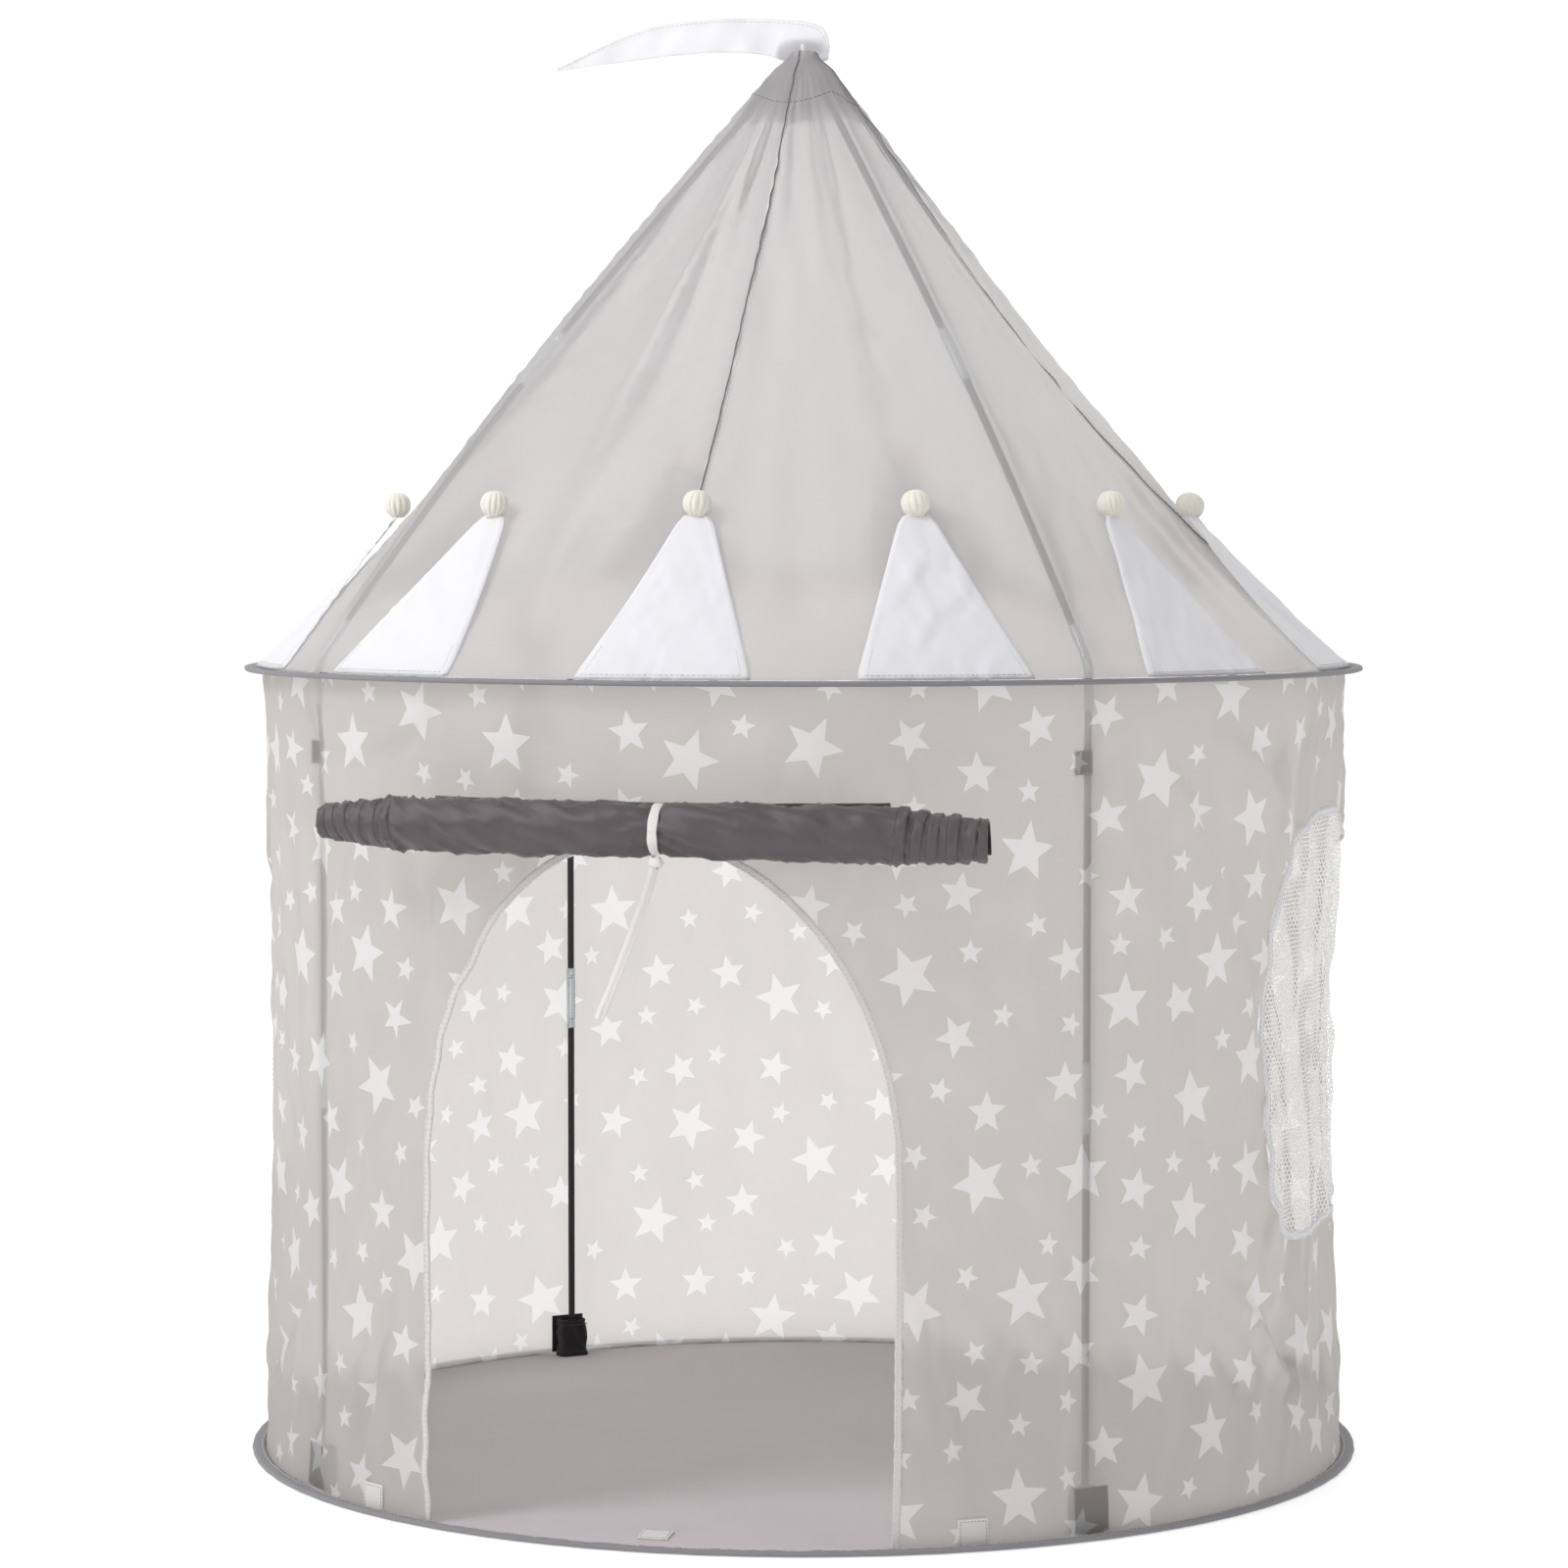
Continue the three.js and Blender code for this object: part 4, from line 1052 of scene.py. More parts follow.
# ---- Poles, their sockets and straps ---------------------------------------------------------------

POLE_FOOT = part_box("pole_front_right_foot_rod")[0].z
FERRULE_HALF = 30 * MM
WALL_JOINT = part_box("pole_front_right_foot_rod")[1].z - FERRULE_HALF
ROOF_JOINT = 975 * MM
ROD, FERRULE, BORE = 3.2 * MM, 4.35 * MM, 3.4 * MM
BEND_Z, BEND_EASE, ELBOW_HALF, ROD_SHORT = 717 * MM, 8 * MM, 38 * MM, 12 * MM
UNDER_EAVE, UNDER_POINT = 8 * MM, 10.5 * MM
UNDER_FROM, UNDER_TO = 0.14, 0.962  # shares of the roof's height between which a pole follows the roof


def pole_route():
    """A pole's centre line as radius and height: upright, round the elbow's bend, and then under the roof."""
    share = np.linspace(UNDER_FROM, UNDER_TO, 90)

    def height(k):
        return ROOF_LOW + k * (ROOF_SHOULDER - ROOF_LOW)

    slope = unit(np.stack([roof_over_pole(share + 0.002) - roof_over_pole(share - 0.002),
                           height(share + 0.002) - height(share - 0.002)], -1))
    depth = UNDER_EAVE + (UNDER_POINT - UNDER_EAVE) * share
    under = np.stack([roof_over_pole(share) - depth * slope[:, 1], height(share) + depth * slope[:, 0]], -1)
    bend = np.array([POLE_RADIUS, BEND_Z])
    ahead = under[0] - bend
    reach = np.linalg.norm(ahead)
    ahead /= reach
    t = np.linspace(0, 1, 13)[:, None]
    start, end = bend - [0, BEND_EASE], bend + ahead * BEND_EASE
    turn = (1 - t) ** 2 * start + 2 * t * (1 - t) * bend + t * t * end
    foot = np.stack([np.full(60, POLE_RADIUS), np.linspace(POLE_FOOT, BEND_Z - BEND_EASE - 1 * MM, 60)], -1)
    rise = bend + ahead * np.linspace(BEND_EASE + 3 * MM, reach - 3 * MM, 16)[:, None]
    return np.concatenate([foot, turn, rise, under])


def stretch(route, low, high, step):
    """The part of a route between two of its own lengths, in even steps."""
    run = run_along(route)
    where = np.linspace(low, high, max(3, round((high - low) / step)) + 1)
    return read_off(where, run, route)


def length_at(route, z):
    return float(np.interp(z, route[:, 1], run_along(route)))


def sleeve(name, path, up, marks, replaces=()):
    """A steel tube with rolled lips and ring-shaped crimps, open at both ends."""
    run = run_along(path)
    radius = np.full(len(path), FERRULE)
    for mark in marks:
        radius = radius - 0.45 * MM * np.exp(-(((run - mark * run[-1]) / (1.1 * MM)) ** 2))
    radius = radius - 0.5 * MM * np.exp(-run / (0.7 * MM)) - 0.5 * MM * np.exp(-(run[-1] - run) / (0.7 * MM))
    sides = 20
    circle = ring_section(1, sides)
    points, faces = swept(path, up, circle[None] * radius[:, None, None])
    faces = faces[:-2]
    count = len(points)
    inner, inner_faces = swept(path, up, circle[None] * np.full(len(path), BORE)[:, None, None])
    faces += [tuple(count + k for k in reversed(f)) for f in inner_faces[:-2]]
    last = count - sides
    for j in range(sides):
        k = (j + 1) % sides
        faces.append((k, j, count + j, count + k))
        faces.append((last + j, last + k, count + last + k, count + last + j))
    uv = np.concatenate([swept_uv(path, sides), swept_uv(path, sides)])
    piece(name, np.concatenate([points, inner]), faces, STEEL, "tent", replaces, uv)


def make_pole(corner, phi):
    route = pole_route()
    total = length_at(route, route[-1, 1])
    bend, wall, roof = (length_at(route, z) for z in (BEND_Z, WALL_JOINT, ROOF_JOINT))
    name = f"pole_{corner}"
    across = at(phi + QUARTER, 1.0, 0.0)

    def line(low, high, step=6 * MM):
        part = stretch(route, low, high, step)
        return at(phi, part[:, 0], part[:, 1])

    rods = {"foot_rod": (0, wall), "wall_rod": (wall, bend - ROD_SHORT), "eave_rod": (bend + ROD_SHORT, roof),
            "roof_rod": (roof, total)}
    for rod, (low, high) in rods.items():
        tube(f"{name}_{rod}_glass", line(low + 0.2 * MM, high - 0.2 * MM), ROD, ROD_GLASS, "tent",
             f"{name}_{rod}", sides=16, up=across)
    for tag, joint in (("wall", wall), ("roof", roof)):
        path = line(joint - FERRULE_HALF, joint + FERRULE_HALF, 0.8 * MM)
        sleeve(f"{name}_{tag}_ferrule", path, across, (0.1, 0.14, 0.86))
    path = line(bend - ELBOW_HALF, bend + ELBOW_HALF, 0.8 * MM)
    sleeve(f"{name}_elbow_tube", path, across, (0.08, 0.92), f"{name}_elbow")
    make_pocket(corner, phi)
    make_strap(corner, phi)


def rounded_box(wide, deep, count):
    """A box's outline with soft corners, from the middle of its right side round."""
    angle = np.arange(count) / count * 2 * math.pi
    c, s = np.cos(angle), np.sin(angle)
    reach = (np.abs(c) ** 4.0 + np.abs(s) ** 4.0) ** (-1 / 4.0)
    return np.stack([c * reach * wide / 2, s * reach * deep / 2], -1)


POCKET_SIZE = 29 * MM, 20 * MM


def make_pocket(corner, phi):
    """A pocket of black webbing with soft sides and a folded mouth, and its backing, sewn to the wall."""
    low, high = WALL_LOW + 0.2 * MM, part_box(f"foot_pocket_{corner}")[1].z
    wide, deep = POCKET_SIZE
    heights = [0, 0.02, 0.06, 0.18, 0.32, 0.48, 0.64, 0.78, 0.9, 0.97, 1.0, 1.0, 0.96, 0.86, 0.6]
    swell = [1.02, 1.06, 1.03, 0.98, 0.97, 0.98, 0.96, 0.93, 0.94, 0.98, 0.95, 0.86, 0.82, 0.8, 0.78]
    rings = []
    count = 48
    for k, (share, scale) in enumerate(zip(heights, swell)):
        outline = rounded_box(wide * scale, deep * scale, count)
        z = low + (high - low) * share
        dent = 0.7 * MM * ripple(outline[:, 0], np.full(count, z), 0.012, 0.02, 81 + int(phi * 10))
        dent = dent * (k > 1) * (k < 9)
        outline = outline * (1 + dent / np.linalg.norm(outline, axis=1))[:, None]
        lean = 1.2 * MM * ripple(np.full(count, z), outline[:, 0], 0.05, 0.05, 82) * smooth(share * 3)
        radius = POLE_RADIUS - 0.5 * MM + np.minimum(outline[:, 1], deep / 2)
        side = outline[:, 0] + lean
        around = phi + side / POLE_RADIUS
        rings.append(at(around, radius, np.full(count, z) + 0.5 * MM * np.sin(side * 300) * (k > 7)))
    points = np.stack(rings)
    faces = grid_faces(len(rings), count, wrap_columns=True) + end_caps(len(rings), count)
    piece(f"foot_pocket_{corner}_web", points, faces, BLACK, "tent", f"foot_pocket_{corner}")
    side, z = np.meshgrid(np.linspace(-17, 17, 18) * MM, np.linspace(WALL_LOW + 3 * MM, 41 * MM, 20))
    around = phi + side / FLAT_RADIUS
    points, faces = thick_sheet(wall_point(around, z, -0.4 * MM), wall_point(around, z, -0.8 * MM))
    piece(f"foot_pocket_{corner}_backing", points, faces, BLACK, "tent")
    for z in (low + 5 * MM, high - 5 * MM):
        outline = rounded_box(wide, deep, 60)
        ring = at(phi + outline[:, 0] / POLE_RADIUS, POLE_RADIUS - 0.5 * MM + outline[:, 1], z)
        outward = ring - at(phi, POLE_RADIUS, z)
        stitches(f"foot_pocket_{corner}_stitches_{round(z * 1000)}", closed_up(ring), closed_up(outward),
                 DARK_THREAD, "tent", thick=0.3 * MM)


def make_strap(corner, phi):
    """A strap of hook tape sewn to the wall, wrapped round the pole and closed on itself beside it."""
    high = 20 * MM
    inner = ROD + 0.5 * MM
    upper_tab = [(-15 * MM, 4.2 * MM), (-11 * MM, 4.2 * MM), (-6 * MM, 4.1 * MM)]
    wrap = [(inner * math.sin(a), inner * math.cos(a)) for a in np.linspace(-15 * DEG, 230 * DEG, 26)]
    under_tab = [(-6 * MM, 0.6 * MM), (-9.5 * MM, 2.5 * MM), (-14.5 * MM, 2.9 * MM)]
    flat = np.array(upper_tab + wrap + under_tab)
    rows = np.linspace(-high / 2, high / 2, 9)
    layers = []
    for offset in (0.55 * MM, -0.55 * MM):
        tangent = unit(np.gradient(flat, axis=0))
        shifted = flat + np.stack([tangent[:, 1], -tangent[:, 0]], -1) * offset
        sheet = []
        for row in rows:
            z = STRAP_Z + row + 0.25 * MM * ripple(shifted[:, 0], np.full(len(flat), row), 0.01, 0.02, 91)
            sheet.append(at(phi + shifted[:, 0] / POLE_RADIUS, POLE_RADIUS + shifted[:, 1], z))
        layers.append(np.stack(sheet))
    points, faces = thick_sheet(*layers)
    piece(f"pole_strap_{corner}", points, faces, STRAP, "tent")


def hook_patch(name, centre, across, up, wide, high, replaces=()):
    """A square of hook tape: a flat pad with a thin border, rows of hooks, and stitches all round."""
    out = np.cross(across, up)
    columns, rows = 40, 34
    u, v = np.meshgrid(np.linspace(-1, 1, columns + 1), np.linspace(-1, 1, rows + 1))
    x, y = u * wide / 2, v * high / 2
    edge = np.minimum((1 - np.abs(u)) * wide / 2, (1 - np.abs(v)) * high / 2)
    rib = 0.22 * MM * np.sin(2 * math.pi * y / (1.7 * MM)) * np.sin(2 * math.pi * x / (2.3 * MM))
    height = 0.5 * MM + 0.5 * MM * smooth(edge / (1.2 * MM)) + rib * smooth((edge - 2.6 * MM) / (0.8 * MM))
    place = np.asarray(centre)[None, None]
    top = place + x[..., None] * across + y[..., None] * up + height[..., None] * out
    bottom = place + x[..., None] * across + y[..., None] * up
    points, faces = thick_sheet(top, bottom)
    piece(name, points, faces, HOOK, "tent", replaces, uv_both(x, y))
    inset = 1.9 * MM
    corners = [(-1, -1), (1, -1), (1, 1), (-1, 1), (-1, -1)]
    ring = []
    for a, b in corners:
        along, aside = a * (wide / 2 - inset) * across, b * (high / 2 - inset) * up
        ring.append(np.asarray(centre) + along + aside + 0.95 * MM * out)
    sides = [np.linspace(p, q, 10, endpoint=False) for p, q in zip(ring, ring[1:])]
    stitches(name + "_stitches", np.concatenate(sides + [ring[-1:]]), out, GREY_THREAD, "tent",
             length=2.2 * MM, gap=0.9 * MM, thick=0.3 * MM)


def make_hook_patches():
    tilt = math.atan(PATCH_SLOPE)
    spot = (PATCH_MIDDLE.x, PATCH_MIDDLE.y, PATCH_LOW.z + 0.4 * MM + PATCH_HALF * PATCH_SLOPE)
    hook_patch("threshold_patch", spot, np.array([1.0, 0, 0]), np.array([0, math.cos(tilt), math.sin(tilt)]),
               PATCH_HIGH.x - PATCH_LOW.x, PATCH_HIGH.y - PATCH_LOW.y, "threshold_hook_patch")
    for side, phi in (("left", -32.5 * DEG), ("right", 32 * DEG)):
        z = 12.5 * MM
        spot = wall_point(np.array(phi), np.array(z), 0.7 * MM)
        hook_patch(f"wall_patch_{side}", spot, at(phi + QUARTER, 1.0, 0.0), np.array([0, 0, 1.0]), 26 * MM,
                   24 * MM)


# ---- Rolled door and its tie -----------------------------------------------------------------------

ROLL_LEFT, ROLL_RIGHT = -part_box("door_roll")[0].x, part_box("door_roll")[1].x
ROLL_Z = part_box("door_roll")[1].z - 24 * MM
ROLL_OUT, ROLL_SWEEP, ROLL_DROOP = 506 * MM, 30 * MM, 7 * MM
ROLL_TURNS = 6.2
ROLL_EDGE_LEFT, ROLL_EDGE_RIGHT = 207 * MM, 212 * MM  # how far its outermost turn reaches
HEAD_HALF = 195 * MM
HEAD_Z = 602.5 * MM
TIE_X, TIE_WIDTH = 20 * MM, 8 * MM
TAIL_ROUTE = [(22.7, -524.4, 559), (19.6, -526, 546), (11.5, -527.5, 522), (1.5, -528.5, 495),
              (-10, -529, 466), (-23, -529.5, 435.5)]


def roll_middle(x):
    """The y and z of the roll's centre line: its ends sweep back to the wall, and the right one droops."""
    share = x / np.where(x < 0, ROLL_LEFT, ROLL_RIGHT)
    return -ROLL_OUT + ROLL_SWEEP * share**2, ROLL_Z - ROLL_DROOP * np.maximum(share, 0) ** 2


def roll_slope(x):
    """How fast the centre line sweeps back: the roll's ends face a little away from the doorway."""
    extent = np.where(x < 0, ROLL_LEFT, ROLL_RIGHT)
    return 2 * ROLL_SWEEP * x / extent**2


def roll_outside(x):
    """The outermost turn's radius: nipped in by the tie, full beside it, and a little less at its ends."""
    off = np.abs(x - TIE_X)
    full = 22.6 * MM - 0.8 * MM * smooth((off - 0.12) / 0.1)
    return full - 3.4 * MM * np.exp(-((off / (20 * MM)) ** 1.3))


def roll_core(x):
    """The innermost turn's radius, as a share of the outermost one's: the right end is rolled loosely."""
    return 0.54 + 0.2 * smooth((x / ROLL_RIGHT - 0.25) / 0.7)


def roll_wrinkles(x, angle, turn):
    """Pleats that spread out from the tie, and slack creases further along."""
    off = np.abs(x - TIE_X)
    near = np.exp(-off / (70 * MM))
    pleats = np.abs(np.sin(angle * 3.5 + off / (15 * MM) + 0.9 * np.sin(angle * 2 + off / (16 * MM)))) - 0.6
    creases = 0.9 * MM * ripple(x + 0.022 * angle, angle * 0.022, 0.05, 0.05, 101)
    sharp = 1 - np.abs(ripple(x + 0.04 * angle, angle * 0.022, 0.045, 0.05, 102))
    slack = 0.6 + 0.4 * smooth((off - 0.1) / 0.08)
    creases = creases + 5.2 * MM * np.maximum(0, sharp - 0.3) ** 1.5 * slack
    outermost = 0.35 + 0.65 * (turn > ROLL_TURNS - 1.02)
    return (5.0 * MM * near * pleats + creases) * outermost * smooth(off / (9 * MM))


def make_roll():
    steps = 190
    turn = np.linspace(0.0, ROLL_TURNS, steps)
    leave = 150 * DEG  # where the last turn leaves for its sewn edge, counted from the front upwards
    angle = leave + (ROLL_TURNS - turn) * 4 * QUARTER
    outward = np.maximum(0, turn - 0.8) / (ROLL_TURNS - 0.8)
    left = ROLL_LEFT - (ROLL_LEFT - ROLL_EDGE_LEFT) * outward + 1.3 * MM * np.sin(turn * 5.1 + 1)
    right = ROLL_RIGHT - (ROLL_RIGHT - ROLL_EDGE_RIGHT) * outward + 1.3 * MM * np.sin(turn * 4.3 + 2)
    hem = np.array([0, 0.1, 0.4, 1.0, 2.6, 5.2, 7.2, 8.0, 8.5, 9.0, 9.8, 12]) * MM
    lift = np.array([-1.5, 0.1, 0.75, 0.95, 0.9, 0.8, 0.8, 0.45, -0.35, 0.3, 0.05, 0]) * MM
    along = np.linspace(0, 1, 96)[1:-1]
    rows = []
    for t, a, x_left, x_right in zip(turn, angle, left, right):
        inner = -x_left + hem[-1] + along * (x_left + x_right - 2 * hem[-1])
        x = np.concatenate([hem - x_left, inner, (x_right - hem)[::-1]])
        raised = np.concatenate([lift, np.zeros(len(inner)), lift[::-1]])
        core = roll_core(x)
        radius = roll_outside(x) * (core + (1 - core) * t / ROLL_TURNS) + raised
        radius = radius + roll_wrinkles(x, np.full_like(x, a), t)
        at_ends = smooth((np.abs(x) - ROLL_EDGE_LEFT + 0.04) / 0.03)
        radius = radius + 0.6 * MM * ripple(x, np.full_like(x, a * 0.02), 0.02, 0.03, 103) * at_ends
        y, z = roll_middle(x)
        ahead = radius * math.cos(a)
        rows.append(np.stack([x + roll_slope(x) * ahead, y - ahead, z + radius * math.sin(a)], -1))
    points = np.stack(rows)
    uv = np.stack([points[..., 0], np.broadcast_to((turn * 0.1)[:, None], points.shape[:2])], -1)
    obj = piece("door_roll_cloth", points, grid_faces(*points.shape[:2]), DOOR, "rolled_door",
                "door_roll", uv=uv)
    make_head(points[-1])


def make_head(last):
    """The strip between the roll and the wall, and the dark tape over the seam that holds it to the wall."""
    count = 90
    x = np.linspace(-HEAD_HALF, HEAD_HALF, count)
    low = read_off(x, last[:, 0], last)
    reach = float(wall_radius(HEAD_Z))
    high = wall_point(np.arcsin(x / reach), np.full(count, HEAD_Z), 0.9 * MM)
    t = np.linspace(0, 1, 9)[:, None, None]
    sag = 1.0 * MM * np.sin(math.pi * t) * np.abs(ripple(x, 0, 0.06, 1, 111))[None, :, None]
    middle = low[None] * (1 - t) + high[None] * t - sag * [[[0, 0, 1.0]]]
    half = np.array([0, -0.3 * MM, 0.3 * MM])
    points, faces = thick_sheet(middle + half, middle - half)
    obj = piece("door_head_cloth", points, faces, DOOR, None)
    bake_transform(obj)

    angle = np.linspace(-1, 1, 170) * math.asin(HEAD_HALF / reach)
    path = wall_point(angle, np.full(170, HEAD_Z + 1.5 * MM), 1.3 * MM)
    section = ribbon_section(7.5 * MM, 1.8 * MM)
    points, faces = swept(path, wall_normal(angle), section)
    piece("door_seam_tape", points, faces, DOOR, "tent", uv=swept_uv(path, len(section)))
    over = path + wall_normal(angle) * 0.9 * MM + np.array([0, 0, 1.6 * MM])
    stitches("door_seam_stitches", over, wall_normal(angle), DARK_THREAD, "tent")


def spline(points, count):
    """A smooth line through the points."""
    points = np.asarray(points, float)
    padded = np.concatenate([2 * points[:1] - points[1:2], points, 2 * points[-1:] - points[-2:-1]])
    made = []
    for t in np.linspace(0, len(points) - 1 - 1e-9, count):
        i, f = int(t), t - int(t)
        a, b, c, d = padded[i:i + 4]
        made.append(0.5 * (2 * b + (c - a) * f + (2 * a - 5 * b + 4 * c - d) * f * f
                           + (3 * b - a - 3 * c + d) * f ** 3))
    return np.array(made)


def make_tail():
    """The tie's free end, a flat tape that hangs from the knot."""
    route = spline(np.array(TAIL_ROUTE) * MM, 24)
    fine = spline(route, 70)
    run = np.linspace(0, 1, len(fine))
    twist = (26 + 14 * np.sin(run * 5.2 + 0.4)) * DEG
    facing = np.stack([np.sin(twist), -np.cos(twist), np.zeros_like(run)], -1)
    section = ribbon_section(TIE_WIDTH, 1.1 * MM, 5)
    section = densify(section, 0.7 * MM, True)
    fold = section[:, 0] / TIE_WIDTH * 2 * math.pi
    section[:, 1] += 0.5 * MM * np.cos(fold / 2) + 0.22 * MM * np.sin(2 * fold)
    wide = 1 - 0.22 * np.exp(-run / 0.05) + 0.02 * ripple(run, 0, 0.15, 1, 121)
    thick = 1 + 0.9 * smooth((run - 0.93) / 0.015)
    points, faces = swept(fine, facing, scaled(section, wide, thick))
    obj = piece("tie_tail_tape", points, faces, TAPE, "rolled_door", "tie_tail",
                swept_uv(fine, len(section)))


def make_tie():
    centre = np.array([TIE_X, *roll_middle(TIE_X)])
    angle = np.linspace(0, 4 * QUARTER, 96, endpoint=False)
    reach = float(roll_outside(np.array(TIE_X))) + 1.0 * MM
    sway = 1.4 * MM * np.sin(angle + 0.6)
    path = centre + np.stack([sway, -reach * np.cos(angle), reach * np.sin(angle)], -1)
    section = ribbon_section(TIE_WIDTH, 1.1 * MM, 5)
    cup = 1 + 0.05 * ripple(angle, 0, 1.2, 1, 122)
    points, faces = swept(path, path - centre, scaled(section, cup, np.ones_like(cup)), closed=True)
    piece("tie_loop_tape", points, faces, TAPE, "rolled_door", "tie_loop",
          swept_uv(path, len(section)))

    end = np.array(TAIL_ROUTE[0]) * MM
    way = unit(np.array(TAIL_ROUTE[1]) * MM - end)
    middle = end - way * 3.2 * MM
    side = unit(np.cross(way, [0, -1, 0]))
    front = np.cross(side, way)
    for tag, wide, tall, tilt, width in (("wrap", 5.4, 3.3, 0.35, 7.0), ("cross", 4.6, 2.7, -0.75, 6.5)):
        axis = way * math.cos(tilt) + side * math.sin(tilt)
        flat = np.cross(axis, front)
        ring = middle + (np.cos(angle)[:, None] * flat * wide + np.sin(angle)[:, None] * front * tall) * MM
        ring = ring + axis * (1.3 * MM * np.sin(2 * angle))[:, None]
        shape = ribbon_section(width * MM, 1.1 * MM, 4)
        points, faces = swept(ring, ring - middle, shape, closed=True)
        piece(f"tie_knot_{tag}", points, faces, TAPE, "rolled_door",
              uv=swept_uv(ring, len(shape)))
    make_knot_core(middle, way, (4.2 * MM, 2.4 * MM, 3.6 * MM))


def make_knot_core(middle, axis, sizes):
    """The small crumpled swelling inside the knot, along an axis."""
    side = unit(np.cross(axis, [0.3, -1, 0.1]))
    front = np.cross(side, axis)
    rows, columns = 14, 28
    up = np.linspace(0.04, 0.96, rows)[:, None] * 2 * QUARTER
    round_ = once_round(columns)
    swell = 1 + 0.09 * np.sin(3 * round_ + 2 * up) * np.sin(up)
    wide = np.sin(up) * swell
    points = (middle - np.cos(up)[..., None] * axis * sizes[2]
              + (wide * np.cos(round_))[..., None] * side * sizes[0]
              + (wide * np.sin(round_))[..., None] * front * sizes[1])
    faces = grid_faces(rows, columns, wrap_columns=True) + end_caps(rows, columns)
    piece("tie_knot_core", points, faces, TAPE, "rolled_door")


# ---- Crown of flaps, and the pennant ---------------------------------------------------------------

FLAP_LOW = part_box("crown_flap_01")[0].z
POMPOM = 12.6 * MM
POMPOM_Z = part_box("crown_flap_01")[1].z - POMPOM
FLAP_HIGH = POMPOM_Z - 9 * MM
FLAP_BASE_HALF, FLAP_TIP_HALF = 74 * MM, 12.2 * MM
FLAP_OFFSET, FLAP_THICK, FLAP_LIFT, POMPOM_OUT = 2.4 * MM, 2.2 * MM, 8.1 * MM, 16.9 * MM
FLAP_LEANS = {1: (15, 6), 2: (-6, 0)}  # how far a flap's base and tip lie off their place, in millimetres


def make_flap(number):
    name = f"crown_flap_{number:02d}"
    centre = (number - 1) * 30 * DEG
    draw = random.Random(200 + number)
    lean_low, lean_high = FLAP_LEANS.get(number, (draw.uniform(-5, 5), draw.uniform(-3, 3)))
    columns, rows = 40, 44
    u, v = np.meshgrid(np.linspace(-1, 1, columns + 1), np.linspace(0, 1, rows + 1))
    half = FLAP_BASE_HALF + (FLAP_TIP_HALF - FLAP_BASE_HALF) * v - 1.6 * MM * np.sin(math.pi * v)
    shoulder = smooth((v - 0.93) / 0.07)
    half = half * (1 - 0.1 * shoulder)
    along = u * half
    from_edge = (1 - np.abs(u)) * half
    z = FLAP_LOW + (FLAP_HIGH - FLAP_LOW) * v - 1.8 * MM * shoulder * (u * u)
    z = z - 2 * MM * (1 - smooth(v / 0.05))
    lean = (lean_low * (1 - v) + lean_high * v) * MM
    phi = centre + (along + lean) / roof_radius(centre, z)
    swell = smooth(from_edge / (16 * MM)) * np.sin(math.pi * np.clip(v * 0.9 + 0.1, 0, 1)) ** 0.6
    soft = 0.9 * MM * ripple(along, z, 0.07, 0.06, 210 + number)
    soft = soft + 0.35 * MM * ripple(along, z, 0.025, 0.03, 230 + number)
    seam = 0.45 * MM * np.exp(-(((from_edge - 2.2 * MM) / (1.2 * MM)) ** 2))
    pucker = 0.9 * MM * ripple(along, 0, 0.022, 1, 250 + number) * np.exp(-v / 0.06)
    base = roof_radius(phi, z) + np.maximum(roof_folds(phi, z), 0)
    base = base + FLAP_OFFSET - 0.6 * MM + v * v * FLAP_LIFT
    thick = FLAP_THICK * (0.3 + 0.7 * smooth(from_edge / (3 * MM)))
    outer = at(phi, base + thick + swell * (1.5 * MM + soft) + seam + pucker, z)
    inner = at(phi, base + 0.5 * pucker, z)
    points, faces = thick_sheet(outer, inner)
    obj = piece(f"{name}_cloth", points, faces, WHITE, name, name, uv_both(along, z))
    line = outer[1] + (outer[1] - inner[1]) * 0.1
    stitches(f"{name}_stitches", line[1:-1], at(phi[1, 1:-1], 1.0, 0.4), THREAD, name,
             thick=0.3 * MM)
    for tag, column in (("right", columns - 2), ("left", 2)):
        side = outer[1:9, column]
        stitches(f"{name}_{tag}_stitches", side, side - inner[1:9, column], THREAD, name,
                 length=2.4 * MM, gap=1.0 * MM, thick=0.28 * MM)
    turn = centre + lean_high * MM / roof_radius(centre, POMPOM_Z)
    ball = at(turn, roof_radius(turn, POMPOM_Z) + FLAP_OFFSET + POMPOM_OUT, POMPOM_Z)
    make_pompom(name, number, ball, (outer[-1, columns // 2] + inner[-1, columns // 2]) / 2)


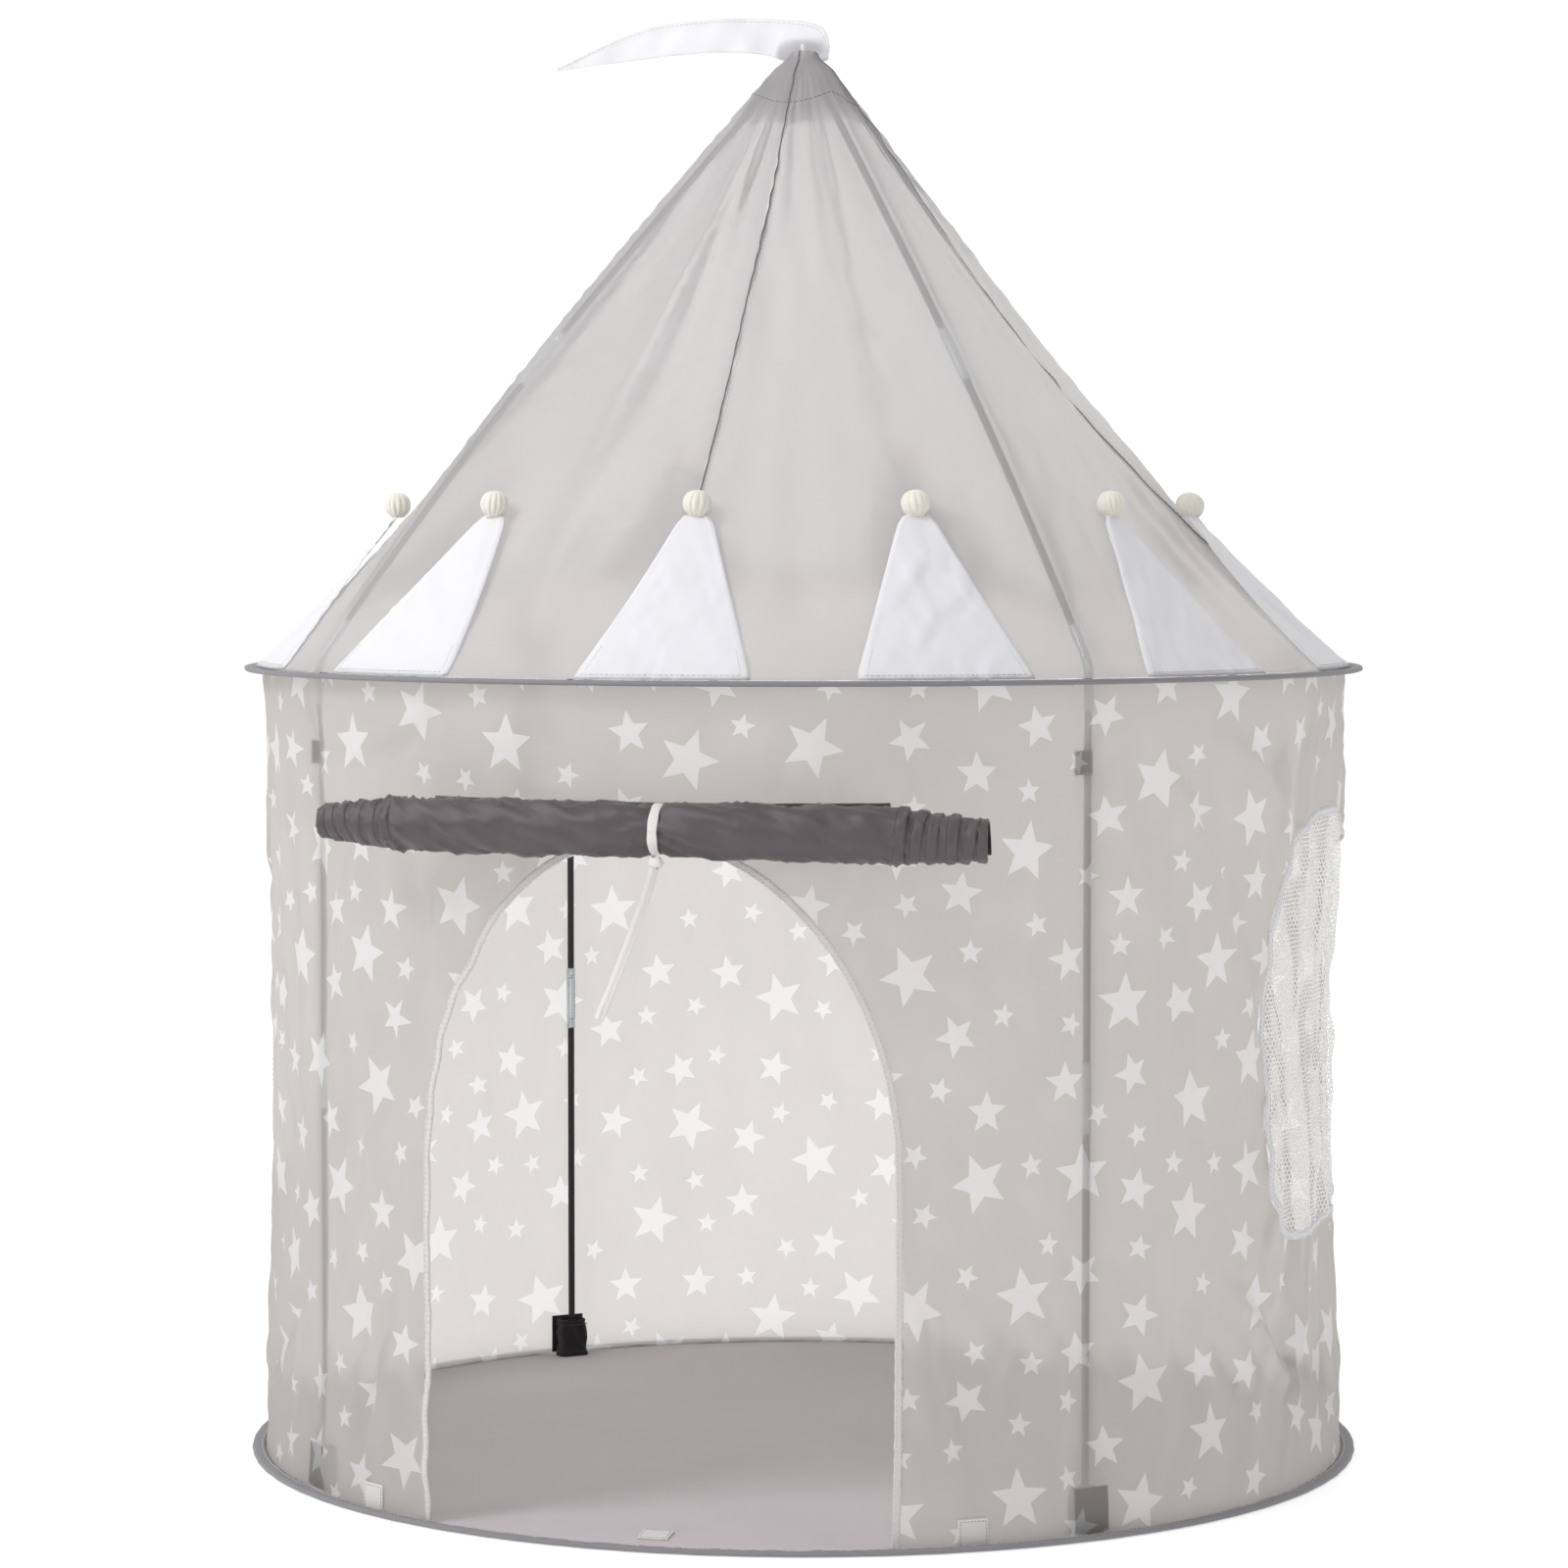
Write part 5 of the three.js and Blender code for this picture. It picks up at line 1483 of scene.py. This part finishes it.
def make_pompom(name, number, ball, neck):
    """A stuffed ball of gathered cloth: its pleats run from the neck, sewn into the flap, up over the top."""
    axis = unit(ball - neck)
    side = unit(np.cross(axis, [0, 0, 1.0]))
    front = np.cross(side, axis)
    draw = random.Random(300 + number)
    spin, count = draw.uniform(0, 6), draw.choice((11, 12, 13))
    rows, columns = 38, 132
    s = np.linspace(0, 1, rows)[:, None]
    psi = once_round(columns)
    turned = psi + 0.5 * (1 - s) * math.cos(spin)
    pleats = np.abs(np.sin(count / 2 * turned + 0.5 * np.sin(2 * psi + spin))) ** 0.8
    depth = 0.05 + 0.17 * (1 - s) ** 1.4
    high = -np.cos(s * 2 * QUARTER) * POMPOM * 0.88
    ball_reach = POMPOM * 0.95 * np.sin(s * 2 * QUARTER) ** 0.85
    neck_share = smooth((0.36 - s) / 0.2)
    folded = (1 - depth * (1 - pleats)) * (1 + 0.03 * np.sin(psi + spin) + 0.02 * np.sin(2 * psi - spin))
    wide = np.maximum(ball_reach, 8 * MM * neck_share) * folded
    deep = np.maximum(ball_reach, 4.6 * MM * neck_share) * folded
    wide[-1] = deep[-1] = 0.4 * MM
    points = (ball + high[..., None] * axis + (wide * np.cos(psi))[..., None] * side
              + (deep * np.sin(psi))[..., None] * front)
    faces = grid_faces(rows, columns, wrap_columns=True) + end_caps(rows, columns)
    obj = piece(f"{name}_pompom", points, faces, POMPOM_CLOTH, name,
                uv=np.stack(np.broadcast_arrays(psi * 0.012, s * 0.04), -1))


# The pennant's upper and lower edges as x and z in millimetres, from its heel to its tip.
PENNANT_TOP = [(22, 1249), (24, 1262), (20, 1275), (11, 1281), (-8, 1284.5), (-32, 1286.5), (-68, 1288),
               (-105, 1286.5), (-140, 1283), (-175, 1273), (-206, 1259), (-232, 1247.5)]
PENNANT_LOW = [(4, 1248.5), (-4, 1248.5), (-13, 1248.5), (-22, 1250), (-34, 1254), (-52, 1256.5), (-78, 1258),
               (-105, 1257), (-135, 1255), (-168, 1252), (-203, 1248.5), (-233, 1245)]


def make_pennant():
    """A thin white streamer with a hemmed upper edge, folded round the roof's point."""
    rows, columns = 17, 110
    top, low = spline(np.array(PENNANT_TOP) * MM, columns), spline(np.array(PENNANT_LOW) * MM, columns)
    v = np.linspace(0, 1, rows)[:, None]
    v = v * v * (3 - 2 * v) * 0.4 + v * 0.6
    x = low[:, 0] * (1 - v) + top[:, 0] * v
    z = low[:, 1] * (1 - v) + top[:, 1] * v
    fade = smooth(-x / 0.03)
    flutter = 4.2 * MM * ripple(x, z, 0.19, 0.3, 131) * (0.35 + 0.65 * v)
    y = fade * (flutter + 1.0 * MM * ripple(x, z, 0.05, 0.05, 132))
    wrap = 24.5 * MM
    round_top = np.cos(np.clip(x / wrap, -1, 1) * QUARTER)
    y = y + wrap * round_top * smooth((1269 * MM - z) / (14 * MM))
    flat = np.stack([x, y, z], -1)
    hem = 0.5 * MM * smooth((v - 0.80) / 0.05) + 0.25 * MM
    thick = np.broadcast_to(hem, x.shape)
    front = flat - np.stack([0 * x, thick, 0 * x], -1)
    back = flat + np.stack([0 * x, thick, 0 * x], -1)
    points, faces = thick_sheet(front, back)
    obj = piece("pennant_cloth", points, faces, FLAG, "pennant", "pennant", uv_both(x, z))
    line = front[-3, 4:-6] - [0, 0.1 * MM, 0]
    stitches("pennant_stitches", line, (0, -1, 0), THREAD, "pennant", thick=0.25 * MM)
    peg = np.stack([np.zeros(12), np.zeros(12), np.linspace(1.240, ROOF_PEAK + 6 * MM, 12)], -1)
    tube("pennant_peg", peg, 2.4 * MM, WHITE, "pennant", sides=12, up=(1, 0, 0))


make_stage()
make_tail()
make_tie()
make_roll()
make_wall()
make_roof()
make_ground()
make_hook_patches()
for corner, phi in CORNERS.items():
    make_pole(corner, phi)
for number in range(1, 13):
    make_flap(number)
make_pennant()
for node in ("bottom_hoop", "top_hoop"):
    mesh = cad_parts[node].data
    mesh.materials.clear()
    mesh.materials.append(WIRE)
